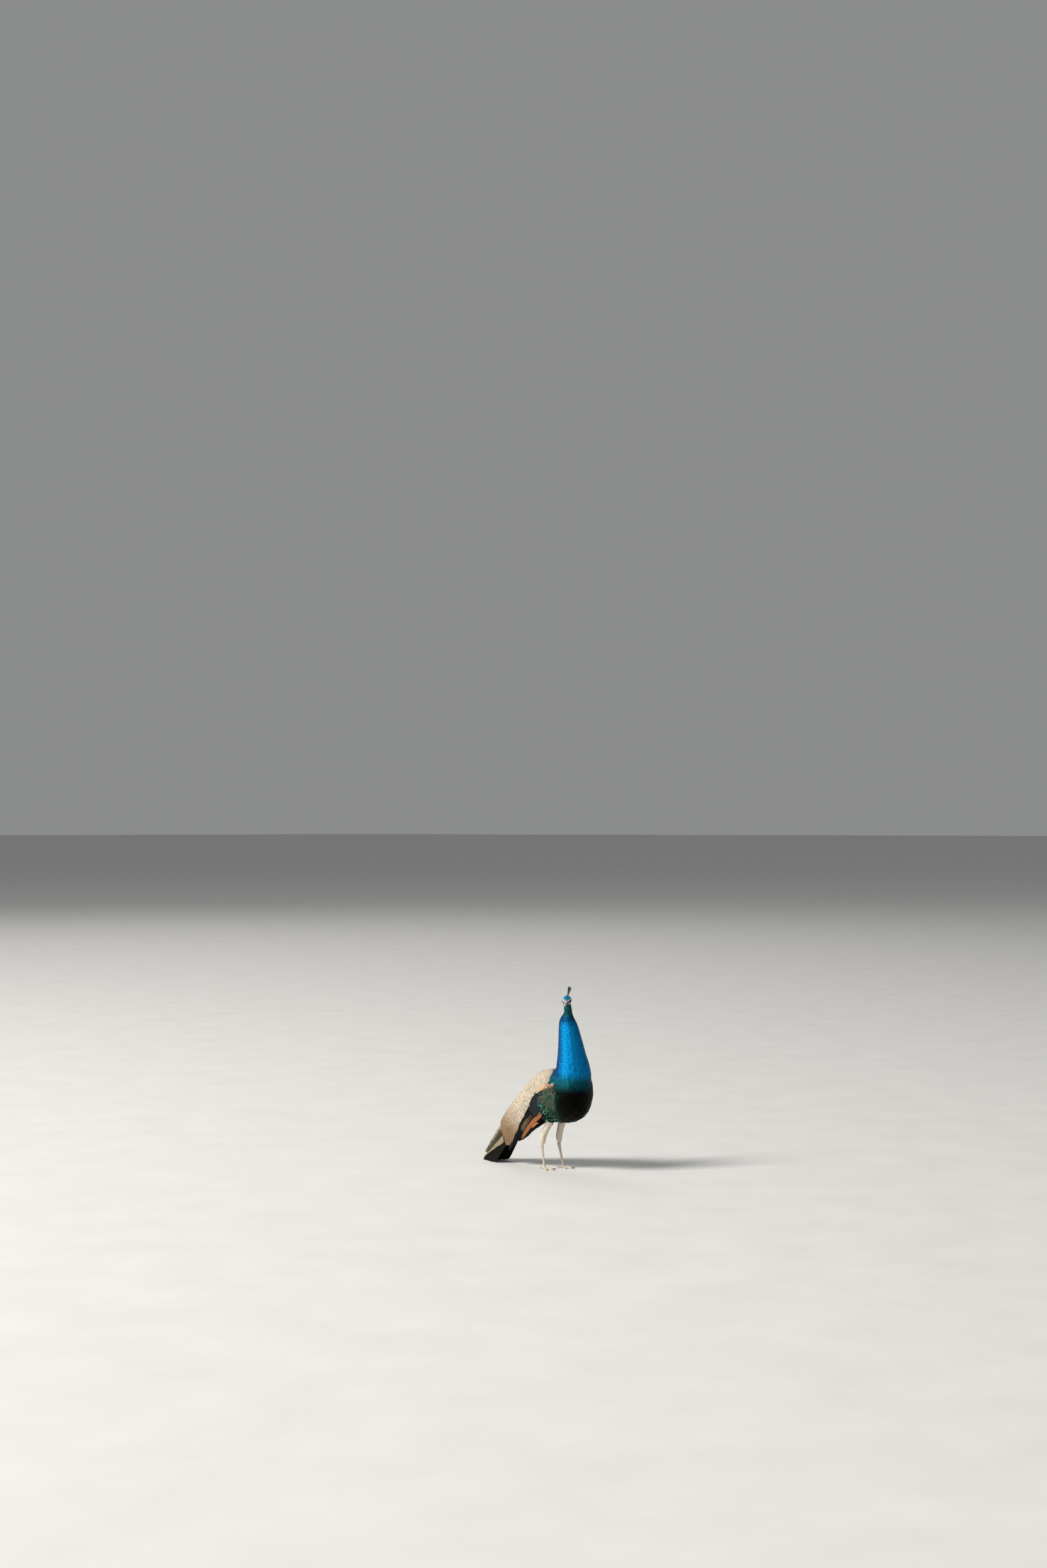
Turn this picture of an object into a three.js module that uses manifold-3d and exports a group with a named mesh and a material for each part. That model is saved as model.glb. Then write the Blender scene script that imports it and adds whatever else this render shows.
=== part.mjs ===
// A life-size Indian peacock (Pavo cristatus), standing with its head turned to its right.
// The bird is out of its long train, so the folded tail is what reaches the ground behind it.
//
// Millimetres. Inside the bird's own group X is forward, Y is to its left and Z is up.
// The group is then turned so that the bird faces -Y, and is set on the floor about the origin.
import * as THREE from "three";
import { mergeVertices } from "three/addons/utils/BufferGeometryUtils.js";
import Module from "manifold-3d";

const wasm = await Module();
wasm.setup();

// ---- driving dimensions -------------------------------------------------------------------

const GAP = 0.3; // clearance between touching pieces
const FAR = 2000; // larger than the bird, for half-space cuts
const SIDES = { left: 1, right: -1 };

const NECK_CUTS = [512, 610, 706, 787]; // heights where trunk, neck lengths and head are parted
const HEAD = { at: [95, -12, 833], yaw: -61, pitch: 8 }; // turned to its right, bill a little down
const EYE = { radius: 6.6, forward: 10, aside: 14.8, up: 1 };
const CREST = {
  shafts: 13,
  length: 53,
  shaft: 0.8, // radius of the bare shaft, and of the spoon at its end
  spoon: 3.6,
  flatness: 0.5,
  back: 66, // the fan opens from leaning back to leaning forward, in degrees
  front: -2,
  sway: 14, // and leans to the bird's left
  root: [-10, 1, 18],
  spread: 10, // from the hindmost root to the foremost
  ridge: [11, 2.6, 9], // half sizes of the raised feathers it stands in
};

const WING_THICKNESS = 9;
const TAIL = {
  root: [-130, 0, 366], // where the ridge of the folded tail leaves the rump
  tip: [-472, 0, 0], // the middle pair lies on the floor here
  corner: [-342, 57, 0], // the outermost feather, left side
  thickness: 5,
  pairs: 10,
  overhang: 14, // tips run a little under the floor and are cut off level with it
};
const FOOT = { left: [25, 48, 0], right: [-17, -48, 0] };
const HOCK = { left: [-6, 48, 117], right: [-36, -48, 119] };
const TOES = [
  { name: "middle", yaw: 0, length: 58, thick: 5.4, rise: 1 },
  { name: "inner", yaw: 36, length: 42, thick: 4.8, rise: 1 },
  { name: "outer", yaw: -36, length: 44, thick: 4.8, rise: 1 },
  { name: "hind", yaw: 168, length: 24, thick: 4.1, rise: 1.4 },
];
// Along a toe and along its claw: share of the length, height of the middle, girth.
const TOE_SHAPE = [
  [0, 6, 1.1], [0.22, 5.4, 1], [0.4, 4.6, 0.84], [0.55, 4.4, 0.92], [0.75, 3.6, 0.72], [1.05, 3.1, 0.66],
];
const CLAW_SHAPE = [[-0.25, 3.4, 2.6], [0.25, 3.7, 2.4], [0.7, 2.6, 1.6], [1, 0.9, 0.5]];
const CLAW_LENGTH = 14;
const SOLE = 1.5; // depth of the flat under the toes
const PAD = { size: [10, 10, 9], height: 5 };
const ANKLE = 7; // height where the shank leaves the foot
// The share says how far down the shank it grows, and the turns are in radians.
const SPUR = { share: 0.62, length: 17, radius: 4, droop: -0.2, inward: 0.5 };
const WING_TUCK = { left: 26, right: 0 }; // how far the folded wing's lower edge is drawn up

// Facets of each kind of piece, and the share of its length over which each end is rounded.
const FACETS = {
  neck: { around: 18, rings: 20, blunt: 0.05 },
  trunk: { around: 20, rings: 14, blunt: 0.14 },
  flank: { around: 12, rings: 7, blunt: 0.25 },
  skull: { around: 18, rings: 14, blunt: 0.12 },
  bill: { around: 12, rings: 7, blunt: 0.1 },
  wing: { around: 22, rings: 14, blunt: 0.1, slab: 0.45 },
  coverts: { around: 12, rings: 9, blunt: 0.16 },
  undertail: { around: 12, rings: 8, blunt: 0.16 },
  thigh: { around: 12, rings: 9, blunt: 0.1 },
  shank: { around: 8, rings: 10, blunt: 0.08 },
  toe: { around: 6, rings: 6, blunt: 0.08 },
  claw: { around: 6, rings: 4, blunt: 0.12 },
};

// ---- materials ----------------------------------------------------------------------------

const finish = (color, roughness, metalness = 0) =>
  new THREE.MeshStandardMaterial({ color, roughness, metalness });
const MATERIALS = {
  blue: finish(0x0a4fb4, 0.35, 0.4),
  green: finish(0x12392c, 0.45, 0.3),
  barred: finish(0xc9b795, 0.7),
  dark: finish(0x171513, 0.6),
  rust: finish(0xb9622f, 0.65),
  buff: finish(0xb9a583, 0.8),
  horn: finish(0x8f857a, 0.5),
  leg: finish(0xc3b19b, 0.55),
  eye: finish(0x1c0f08, 0.1),
};

// ---- solids -------------------------------------------------------------------------------

// A closed three.js geometry as a manifold-3d solid, turned to face outwards.
function solidOf(geometry) {
  const bare = geometry.clone();
  for (const name of ["normal", "uv"]) bare.deleteAttribute(name);
  const merged = mergeVertices(bare, 1e-4);
  const triangles = merged.index.array;
  const kept = [];
  for (let i = 0; i < triangles.length; i += 3) {
    const [a, b, c] = triangles.slice(i, i + 3);
    if (a !== b && b !== c && c !== a) kept.push(a, b, c);
  }
  const build = (order) =>
    new wasm.Manifold(
      new wasm.Mesh({
        numProp: 3,
        vertProperties: new Float32Array(merged.attributes.position.array),
        triVerts: new Uint32Array(order),
      }),
    );
  const made = build(kept);
  return made.volume() > 0 ? made : build(kept.reverse());
}

function geometryOf(solid) {
  const mesh = solid.getMesh();
  const geometry = new THREE.BufferGeometry();
  geometry.setAttribute("position", new THREE.BufferAttribute(mesh.vertProperties, 3));
  geometry.setIndex(new THREE.BufferAttribute(mesh.triVerts, 1));
  return geometry;
}

const vector = (values) => new THREE.Vector3(...values);
const curve = (points) => new THREE.CatmullRomCurve3(points.map(vector), false, "catmullrom", 0.5);

// A tapering body: a sphere whose rings are laid along a smooth curve through the stations.
// Each station is [x, y, z, half width, height above, depth below], and grow fattens them all.
// A slab of 1 keeps the lower half round, and less makes its sides flatter.
function loft(stations, options = {}) {
  const { around, rings, blunt, grow = 0, across = [0, 1, 0], slab = 1 } = options;
  const line = curve(stations.map((s) => s.slice(0, 3)));
  const sizes = curve(stations.map((s) => s.slice(3, 6)));
  const run = line.getPoint(1).sub(line.getPoint(0));
  const lift = vector(across).cross(run).z < 0 ? -1 : 1;
  const geometry = new THREE.SphereGeometry(1, around, rings);
  const place = geometry.attributes.position;
  const uv = geometry.attributes.uv;
  for (let i = 0; i < place.count; i++) {
    const t = 1 - uv.getY(i);
    const angle = 2 * Math.PI * (uv.getX(i) % 1);
    const along = line.getTangent(t);
    const up = vector(across).cross(along).normalize().multiplyScalar(lift);
    const side = up.clone().cross(along).normalize();
    const near = Math.min(t, 1 - t, blunt) / blunt;
    const round = Math.sqrt(1 - (1 - near) ** 2);
    const size = sizes.getPoint(t);
    const [cos, sin] = [Math.cos(angle), Math.sin(angle)];
    const power = sin > 0 ? 1 : slab;
    const wide = (Math.max(size.x, 0.2) + grow) * round * Math.sign(cos) * Math.abs(cos) ** power;
    const reach = Math.max(sin > 0 ? size.y : size.z, 0.2) + grow;
    const high = reach * round * Math.sign(sin) * Math.abs(sin) ** power;
    const end = grow * (t < 0.5 ? -1 : 1) * (1 - round);
    const p = line.getPoint(t).addScaledVector(along, end);
    p.addScaledVector(side, wide).addScaledVector(up, high);
    place.setXYZ(i, p.x, p.y, p.z);
  }
  return solidOf(geometry);
}

// An outline drawn in two of the bird's axes, carried along the third from low to high.
// plane "xz" is the bird seen from its side, "xy" from above.
function prism(points, plane, low, high) {
  const shape = new THREE.Shape(points.map(([a, b]) => new THREE.Vector2(a, b)));
  const geometry = new THREE.ExtrudeGeometry(shape, { depth: high - low, bevelEnabled: false });
  geometry.translate(0, 0, low);
  if (plane === "xz") {
    const [x, y, z] = [vector([1, 0, 0]), vector([0, 1, 0]), vector([0, 0, 1])];
    geometry.applyMatrix4(new THREE.Matrix4().makeBasis(x, z, y));
  }
  return solidOf(geometry);
}

// A smooth outline through a few points, closed on itself.
const smooth = (points, steps = 30) =>
  new THREE.CatmullRomCurve3(points.map(([a, b]) => new THREE.Vector3(a, b, 0)), true, "centripetal")
    .getPoints(steps)
    .slice(0, -1)
    .map((p) => [p.x, p.y]);

function block(low, high) {
  const size = high.map((h, i) => h - low[i]);
  const geometry = new THREE.BoxGeometry(...size);
  geometry.translate(...low.map((l, i) => l + size[i] / 2));
  return solidOf(geometry);
}

const above = (z) => block([-FAR, -FAR, z], [FAR, FAR, FAR]);
const onSide = (side, y) => block([-FAR, side > 0 ? y : -FAR, -FAR], [FAR, side > 0 ? FAR : -y, FAR]);
const between = (low, high) => block([-FAR, -FAR, low + GAP / 2], [FAR, FAR, high - GAP / 2]);
const join = (solids) => solids.reduce((all, s) => all.add(s));

// Of a solid that a cut has left in pieces, the largest.
const largest = (solid) => solid.decompose().sort((a, b) => b.volume() - a.volume())[0];

const mirror = (stations, side) => stations.map(([x, y, ...rest]) => [x, y * side, ...rest]);

// ---- neck, trunk and flanks ---------------------------------------------------------------

const NECK = [
  [93, -7, 825, 15, 15, 15],
  [94, -4, 800, 18.5, 19, 19],
  [94, -1, 777, 19.5, 21, 20.5],
  [92, 0, 761, 25, 28, 27],
  [90, 0, 745, 34, 37, 37],
  [90, 0, 724, 42, 46, 45],
  [96, 0, 690, 48, 54, 52],
  [102, 0, 655, 53, 60, 58],
  [110, 0, 606, 61, 68, 66],
  [116, 0, 558, 69, 77, 74],
  [121, 0, 512, 79, 90, 84],
  [122, 0, 470, 87, 98, 92],
  [118, 0, 425, 88, 96, 92],
];
const TRUNK = [
  [219, 0, 456, 44, 30, 30],
  [182, 0, 438, 78, 70, 92],
  [134, 0, 414, 98, 106, 146],
  [80, 0, 386, 104, 122, 158],
  [26, 0, 358, 102, 126, 142],
  [-28, 0, 334, 94, 122, 110],
  [-80, 0, 314, 80, 112, 76],
  [-124, 0, 300, 62, 96, 48],
  [-160, 0, 284, 40, 70, 30],
  [-182, 0, 268, 20, 40, 16],
];
const FLANK = [
  [150, 70, 420, 12, 26, 24],
  [112, 74, 400, 30, 52, 62],
  [66, 74, 368, 38, 70, 86],
  [20, 72, 332, 36, 66, 70],
  [-18, 68, 300, 26, 46, 44],
  [-40, 66, 280, 12, 22, 22],
];

// The whole of the soft body in one, before it is parted.
function flesh(grow = 0) {
  const neck = loft(NECK, { ...FACETS.neck, grow });
  const trunk = loft(TRUNK, { ...FACETS.trunk, grow });
  const flanks = Object.values(SIDES).map((side) => loft(mirror(FLANK, side), { ...FACETS.flank, grow }));
  return join([neck, trunk, ...flanks]);
}

// ---- head ---------------------------------------------------------------------------------

// Head parts are drawn about the middle of the head, X towards the bill, then set on the neck.
const HEAD_PLACE = new THREE.Matrix4()
  .makeTranslation(...HEAD.at)
  .multiply(new THREE.Matrix4().makeRotationZ(THREE.MathUtils.degToRad(HEAD.yaw)))
  .multiply(new THREE.Matrix4().makeRotationY(THREE.MathUtils.degToRad(HEAD.pitch)));
const onHead = (solid) => solid.transform(HEAD_PLACE.elements.slice());

const SKULL = [
  [-32, 0, -4, 4, 4, 4],
  [-25, 0, -3, 15, 17, 17],
  [-13, 0, -1, 21, 23, 25],
  [0, 0, 0, 22.5, 24.5, 27],
  [12, 0, -1, 20, 20.5, 24],
  [22, 0, -4, 14, 13, 15],
  [30, 0, -7, 9, 8, 10],
  [36, 0, -9, 5, 5, 6],
];
const UPPER_BILL = [
  [20, 0, -8.5, 7.5, 8, 5],
  [30, 0, -8.5, 6.8, 6.8, 3.5],
  [40, 0, -9.8, 5.4, 5.4, 3],
  [49, 0, -12.5, 3.6, 4, 3],
  [55, 0, -17, 1.3, 1.7, 2.2],
];
const LOWER_BILL = [
  [20, 0, -14.5, 6.4, 2.5, 3.8],
  [30, 0, -14.2, 5.8, 2.5, 3.4],
  [40, 0, -15, 4.4, 2.3, 2.7],
  [49, 0, -17.2, 1.8, 1.2, 1.4],
];

const skull = (grow = 0) => loft(SKULL, { ...FACETS.skull, grow });

function eyeball(side, grow = 0) {
  const ball = new THREE.SphereGeometry(EYE.radius + grow, 10, 7);
  return solidOf(ball.translate(EYE.forward, side * EYE.aside, EYE.up));
}

// The fan of bare-shafted feathers, each with a small spoon at its end, standing along the crown.
function crestFan() {
  const feathers = [];
  for (let i = 0; i < CREST.shafts; i++) {
    const share = i / (CREST.shafts - 1);
    const lean = THREE.MathUtils.degToRad(THREE.MathUtils.lerp(CREST.back, CREST.front, share));
    const length = CREST.length * (0.93 + 0.07 * Math.sin(Math.PI * share));
    const foot = [CREST.root[0] + CREST.spread * (share - 0.5), CREST.root[1], CREST.root[2]];
    const outline = [[0, 0], [CREST.shaft, 0], [CREST.shaft, length - 12], [CREST.spoon, length - 4]];
    outline.push([0, length]);
    const feather = new THREE.LatheGeometry(outline.map(([x, y]) => new THREE.Vector2(x, y)), 4);
    feather.scale(1, 1, CREST.flatness).rotateX(Math.PI / 2).rotateY(-lean).translate(...foot);
    feathers.push(solidOf(feather));
  }
  const sway = new THREE.Matrix4().makeRotationX(THREE.MathUtils.degToRad(-CREST.sway));
  const away = CREST.root.map((value) => -value);
  const fan = join(feathers).translate(away).transform(sway.elements.slice()).translate(CREST.root);
  const ridge = solidOf(new THREE.SphereGeometry(1, 10, 6).scale(...CREST.ridge).translate(...CREST.root));
  return fan.add(ridge);
}

function headParts(body) {
  const sockets = Object.values(SIDES).map((side) => eyeball(side, GAP));
  const upper = loft(UPPER_BILL, FACETS.bill);
  const lower = loft(LOWER_BILL, FACETS.bill);
  const upperGrown = loft(UPPER_BILL, { ...FACETS.bill, grow: GAP });
  const face = skull(GAP);
  const head = body.add(onHead(skull())).intersect(above(NECK_CUTS[3] + GAP / 2));
  const parts = {
    head: [head.subtract(onHead(join(sockets))), MATERIALS.blue],
    bill_upper: [onHead(largest(upper.subtract(face))), MATERIALS.horn],
    bill_lower: [onHead(largest(lower.subtract(face).subtract(upperGrown))), MATERIALS.horn],
    crest: [onHead(largest(crestFan().subtract(face))), MATERIALS.blue],
  };
  for (const [name, side] of Object.entries(SIDES)) {
    parts[`eye_${name}`] = [onHead(eyeball(side)), MATERIALS.eye];
  }
  return parts;
}

// ---- wings --------------------------------------------------------------------------------

// The outer face of both folded wings as one tapering arch: x, z of its ridge, half width,
// height of the ridge over the centre line, and depth below that line.
const ARCH = [
  [124, 450, 84, 66, 130],
  [62, 499, 101, 88, 160],
  [-28, 500, 106, 104, 170],
  [-98, 462, 106, 112, 175],
  [-170, 396, 102, 110, 175],
  [-228, 337, 94, 102, 170],
  [-288, 271, 82, 88, 160],
  [-344, 204, 66, 70, 140],
  [-384, 156, 44, 44, 110],
];

// The arch, shrunk by inset: its centre line runs below the ridge, square to it.
function arch(inset) {
  const stations = ARCH.map(([x, z, wide, high, deep], i) => {
    const [ax, az] = ARCH[Math.max(i - 1, 0)];
    const [bx, bz] = ARCH[Math.min(i + 1, ARCH.length - 1)];
    const run = Math.hypot(bx - ax, bz - az);
    const down = [(az - bz) / run, (bx - ax) / run];
    const drop = -high * Math.sign(down[1]);
    return [x + down[0] * drop, 0, z + down[1] * drop, wide, high, deep];
  });
  return loft(stations, { ...FACETS.wing, grow: -inset });
}

// Side outlines of the folded wing's three sets of feathers.
const WING_OUTLINES = {
  wing: [
    [92, 520], [20, 540], [-100, 490], [-230, 350], [-298, 276], [-308, 226], [-282, 172],
    [-266, 106], [-242, 98], [-192, 150], [-148, 222], [-124, 250], [-92, 286], [-60, 336],
    [-40, 372], [12, 394], [64, 427], [104, 462],
  ],
  secondaries: [
    [10, 408], [-40, 372], [-62, 330], [-96, 280], [-124, 244], [-156, 216], [-200, 142],
    [-238, 96], [-252, 62], [-232, 60], [-196, 96], [-150, 148], [-90, 206], [-30, 262], [6, 300],
    [22, 360],
  ],
  primaries: [
    [14, 300], [-28, 262], [-92, 204], [-138, 160], [-162, 134], [-166, 122], [-152, 128],
    [-110, 160], [-62, 200], [-14, 240], [30, 272],
  ],
};
const WING_FINISH = { wing: MATERIALS.barred, secondaries: MATERIALS.dark, primaries: MATERIALS.rust };

// Half width of the bare strip of back between the wings, from the shoulders to the tail.
const BACK_STRIP = [[120, 40], [40, 34], [-60, 26], [-160, 18], [-260, 12], [-360, 9]];

// A prism of the bird's side view made wider by the gap, all round its outline.
function widened(cutter) {
  const turns = [...Array(8).keys()].map((i) => (i * Math.PI) / 4);
  return join(turns.map((a) => cutter.translate([GAP * Math.cos(a), 0, GAP * Math.sin(a)])));
}

function wings(body, others) {
  const shell = arch(0).subtract(arch(WING_THICKNESS));
  const strip = [...BACK_STRIP, ...BACK_STRIP.map(([x, y]) => [x, -y]).reverse()];
  const middle = prism(strip, "xy", 0, FAR);
  const parts = {};
  for (const [name, side] of Object.entries(SIDES)) {
    const open = shell.intersect(onSide(side, GAP)).subtract(middle).subtract(others);
    let taken = null;
    for (const [set, outline] of Object.entries(WING_OUTLINES)) {
      const cutter = prism(smooth(outline, 44), "xz", -FAR, FAR).translate([0, 0, WING_TUCK[name]]);
      let piece = open.intersect(cutter).subtract(body);
      if (taken) piece = piece.subtract(taken);
      parts[`${set}_${name}`] = [largest(piece), WING_FINISH[set]];
      taken = taken ? taken.add(widened(cutter)) : widened(cutter);
    }
  }
  return parts;
}

// ---- tail ---------------------------------------------------------------------------------

// One half of the folded tail lies in a sloping plane: u runs down the ridge, v down the slope.
function tailHalf(side, { grow = 0 } = {}) {
  const root = vector(TAIL.root);
  const ridge = vector(TAIL.tip).sub(root);
  const length = ridge.length();
  const u = ridge.normalize();
  const corner = vector(TAIL.corner).multiply(new THREE.Vector3(1, side, 1)).sub(root);
  const cornerU = corner.dot(u);
  const v = corner.clone().addScaledVector(u, -cornerU);
  const cornerV = v.length();
  v.normalize();
  const outline = new THREE.Shape();
  outline.moveTo(6, GAP + 2.6);
  for (let i = 0; i < TAIL.pairs; i++) {
    const [a, b] = [i / TAIL.pairs, (i + 1) / TAIL.pairs];
    const edge = (s) => [
      THREE.MathUtils.lerp(length + TAIL.overhang, cornerU + TAIL.overhang * 0.4, s ** 1.25),
      THREE.MathUtils.lerp(GAP + 2.6, cornerV, s),
    ];
    const [au, av] = edge(a);
    const [bu, bv] = edge(b);
    if (i === 0) outline.lineTo(au - 8, av);
    outline.quadraticCurveTo(au + 5, av, (au + bu) / 2 + 4, (av + bv) / 2);
    outline.quadraticCurveTo(bu + 5, bv, bu - 5, bv);
  }
  outline.quadraticCurveTo(cornerU * 0.6, cornerV * 0.98, 70, 34);
  outline.lineTo(6, 26);
  const plate = new THREE.ExtrudeGeometry(outline, {
    depth: TAIL.thickness + 2 * grow,
    bevelEnabled: false,
    curveSegments: 3,
  });
  const out = u.clone().cross(v).normalize();
  if (out.z < 0) out.negate();
  const place = new THREE.Matrix4().makeBasis(u, v, out);
  plate.translate(0, 0, -TAIL.thickness - grow).applyMatrix4(place);
  plate.translate(...TAIL.root);
  const thin = solidOf(plate);
  const whole = grow ? thin.add(thin.translate([0, side * grow, -grow])) : thin;
  return whole.intersect(above(0)).intersect(onSide(side, grow ? 0 : GAP / 2));
}

// Short barred coverts along the ridge, and the soft dark plumage under the tail.
const COVERTS = [
  [-96, 0, 398, 26, 12, 16],
  [-150, 0, 350, 36, 18, 24],
  [-213, 0, 284, 40, 26, 20],
  [-280, 0, 212, 42, 28, 14],
  [-350, 0, 139, 34, 23, 9],
  [-412, 0, 73, 22, 15, 7],
  [-448, 0, 32, 10, 7, 5],
];
const UNDERTAIL = [
  [-44, 0, 262, 30, 20, 18],
  [-92, 0, 226, 40, 40, 24],
  [-140, 0, 196, 38, 44, 22],
  [-190, 0, 150, 28, 34, 17],
  [-228, 0, 112, 12, 14, 10],
];

// ---- legs ---------------------------------------------------------------------------------

const THIGH = {
  left: [
    [36, 42, 288, 22, 26, 28],
    [23, 46, 252, 21, 24, 26],
    [10, 48, 214, 17.5, 18.5, 19],
    [0, 48.5, 180, 16.5, 17.5, 17.5],
    [-5, 48, 154, 16, 17, 17],
    [-4, 48, 134, 14.5, 15.5, 15],
    [-1, 48, 117, 8.5, 10.5, 9],
  ],
  right: [
    [34, -44, 288, 22, 26, 28],
    [20, -47, 252, 20, 22, 24],
    [3, -48.5, 213, 16.5, 17.5, 18],
    [-17, -49, 180, 16, 17, 17],
    [-27, -48.5, 155, 16, 17, 17],
    [-29, -48, 135, 14.5, 15.5, 15],
    [-28, -48, 118, 8.5, 10.5, 9],
  ],
};

// The bare shank, from a knobbed hock down to the foot.
function shank(name, grow = 0) {
  const [top, foot] = [HOCK[name], FOOT[name]];
  const sizes = [
    [-0.1, 4.5, 5.5], [0, 8, 9.4], [0.1, 6.6, 8.2], [0.3, 5, 6.2], [0.6, 4.9, 5.8], [0.85, 6, 6.6],
    [0.96, 6.4, 6.8],
  ];
  const stations = sizes.map(([s, wide, deep]) => [
    ...top.map((t, axis) => t + (foot[axis] - t) * s),
    wide,
    deep,
    deep,
  ]);
  return loft(stations, { ...FACETS.shank, grow });
}

// The cock's spur: a cone on the back of the shank, turned a little inwards.
function spur(name, side) {
  const root = vector(HOCK[name]).lerp(vector(FOOT[name]), SPUR.share);
  const cone = new THREE.ConeGeometry(SPUR.radius, SPUR.length, 8);
  cone.translate(0, SPUR.length / 2, 0).rotateZ(Math.PI / 2).rotateY(SPUR.droop);
  return solidOf(cone.rotateZ(side * SPUR.inward).translate(...root));
}

// A point along a toe, measured from the foot's centre.
function toePoint(foot, yaw, reach, z) {
  return [foot[0] + reach * Math.cos(yaw), foot[1] + reach * Math.sin(yaw), z];
}

// Everything beyond a plane square to the toe.
function beyond(foot, yaw, reach) {
  const half = new THREE.BoxGeometry(FAR, FAR, FAR).rotateZ(yaw);
  return solidOf(half.translate(...toePoint(foot, yaw, reach + FAR / 2, 0)));
}

function footParts(name, side, leg) {
  const foot = FOOT[name];
  const floor = above(0);
  const made = {};
  const pad = new THREE.SphereGeometry(1, 8, 5).scale(...PAD.size);
  const toes = [solidOf(pad.translate(foot[0], foot[1], PAD.height))];
  for (const toe of TOES) {
    const yaw = THREE.MathUtils.degToRad(-side * toe.yaw);
    const across = [-Math.sin(yaw), Math.cos(yaw), 0];
    const stations = TOE_SHAPE.map(([share, rise, girth]) => [
      ...toePoint(foot, yaw, toe.length * share, rise * toe.rise),
      toe.thick * girth,
      toe.thick * girth,
      toe.thick * girth + SOLE,
    ]);
    const claw = CLAW_SHAPE.map(([share, rise, girth]) => [
      ...toePoint(foot, yaw, toe.length + CLAW_LENGTH * share, rise),
      girth * 0.85,
      girth,
      girth,
    ]);
    toes.push(loft(stations, { ...FACETS.toe, across }).subtract(beyond(foot, yaw, toe.length)));
    const horn = loft(claw, { ...FACETS.claw, across }).intersect(floor);
    made[`claw_${toe.name}_${name}`] = [horn.intersect(beyond(foot, yaw, toe.length + GAP)), MATERIALS.horn];
  }
  const ankle = shank(name, GAP).intersect(above(ANKLE));
  made[`foot_${name}`] = [largest(join(toes).intersect(floor).subtract(ankle)), MATERIALS.leg];
  made[`shank_${name}`] = [leg.add(spur(name, side)).intersect(above(ANKLE + GAP)), MATERIALS.leg];
  return made;
}

// ---- assembly -----------------------------------------------------------------------------

function build() {
  const body = flesh();
  const bodyGrown = flesh(GAP);
  const parts = headParts(body);
  const lengths = ["trunk", "neck_lower", "neck_middle", "neck_upper"];
  lengths.forEach((name, i) => {
    const low = i ? NECK_CUTS[i - 1] : -FAR;
    const whole = name === "neck_upper" ? body.add(onHead(skull())) : body;
    parts[name] = [whole.intersect(between(low, NECK_CUTS[i])), i ? MATERIALS.blue : MATERIALS.green];
  });

  const halves = Object.entries(SIDES).map(([name, side]) => [name, tailHalf(side)]);
  const tailGrown = join(Object.values(SIDES).map((side) => tailHalf(side, { grow: GAP })));
  for (const [name, half] of halves) {
    parts[`tail_${name}`] = [largest(half.subtract(bodyGrown)), MATERIALS.dark];
  }

  const coverts = loft(COVERTS, FACETS.coverts);
  parts.tail_coverts = [largest(coverts.subtract(bodyGrown).subtract(tailGrown)), MATERIALS.barred];
  const covertsGrown = loft(COVERTS, { ...FACETS.coverts, grow: GAP });
  const undertail = loft(UNDERTAIL, FACETS.undertail);
  const undertailGrown = loft(UNDERTAIL, { ...FACETS.undertail, grow: GAP });
  parts.undertail = [largest(undertail.subtract(bodyGrown).subtract(tailGrown)), MATERIALS.dark];

  Object.assign(parts, wings(bodyGrown, join([tailGrown, covertsGrown, undertailGrown])));

  for (const [name, side] of Object.entries(SIDES)) {
    const thigh = loft(THIGH[name], FACETS.thigh);
    const thighGrown = loft(THIGH[name], { ...FACETS.thigh, grow: GAP });
    parts[`thigh_${name}`] = [largest(thigh.subtract(bodyGrown)), MATERIALS.buff];
    const leg = largest(shank(name).subtract(thighGrown));
    Object.assign(parts, footParts(name, side, leg));
  }

  const bird = new THREE.Group();
  for (const [name, [solid, material]] of Object.entries(parts)) {
    const mesh = new THREE.Mesh(geometryOf(solid), material);
    mesh.name = name;
    bird.add(mesh);
  }
  return bird;
}

// Turned to face -Y, with the middle of its footprint over the origin.
const bird = build();
bird.rotation.z = -Math.PI / 2;
const peacock = new THREE.Group();
peacock.add(bird);
peacock.updateMatrixWorld(true);
const reach = new THREE.Box3().setFromObject(peacock, true);
bird.position.set(-(reach.min.x + reach.max.x) / 2, -(reach.min.y + reach.max.y) / 2, -reach.min.z);

export default peacock;
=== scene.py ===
import math

import bpy
import numpy as np
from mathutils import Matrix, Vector
from mathutils.bvhtree import BVHTree
from mathutils.kdtree import KDTree


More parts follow.
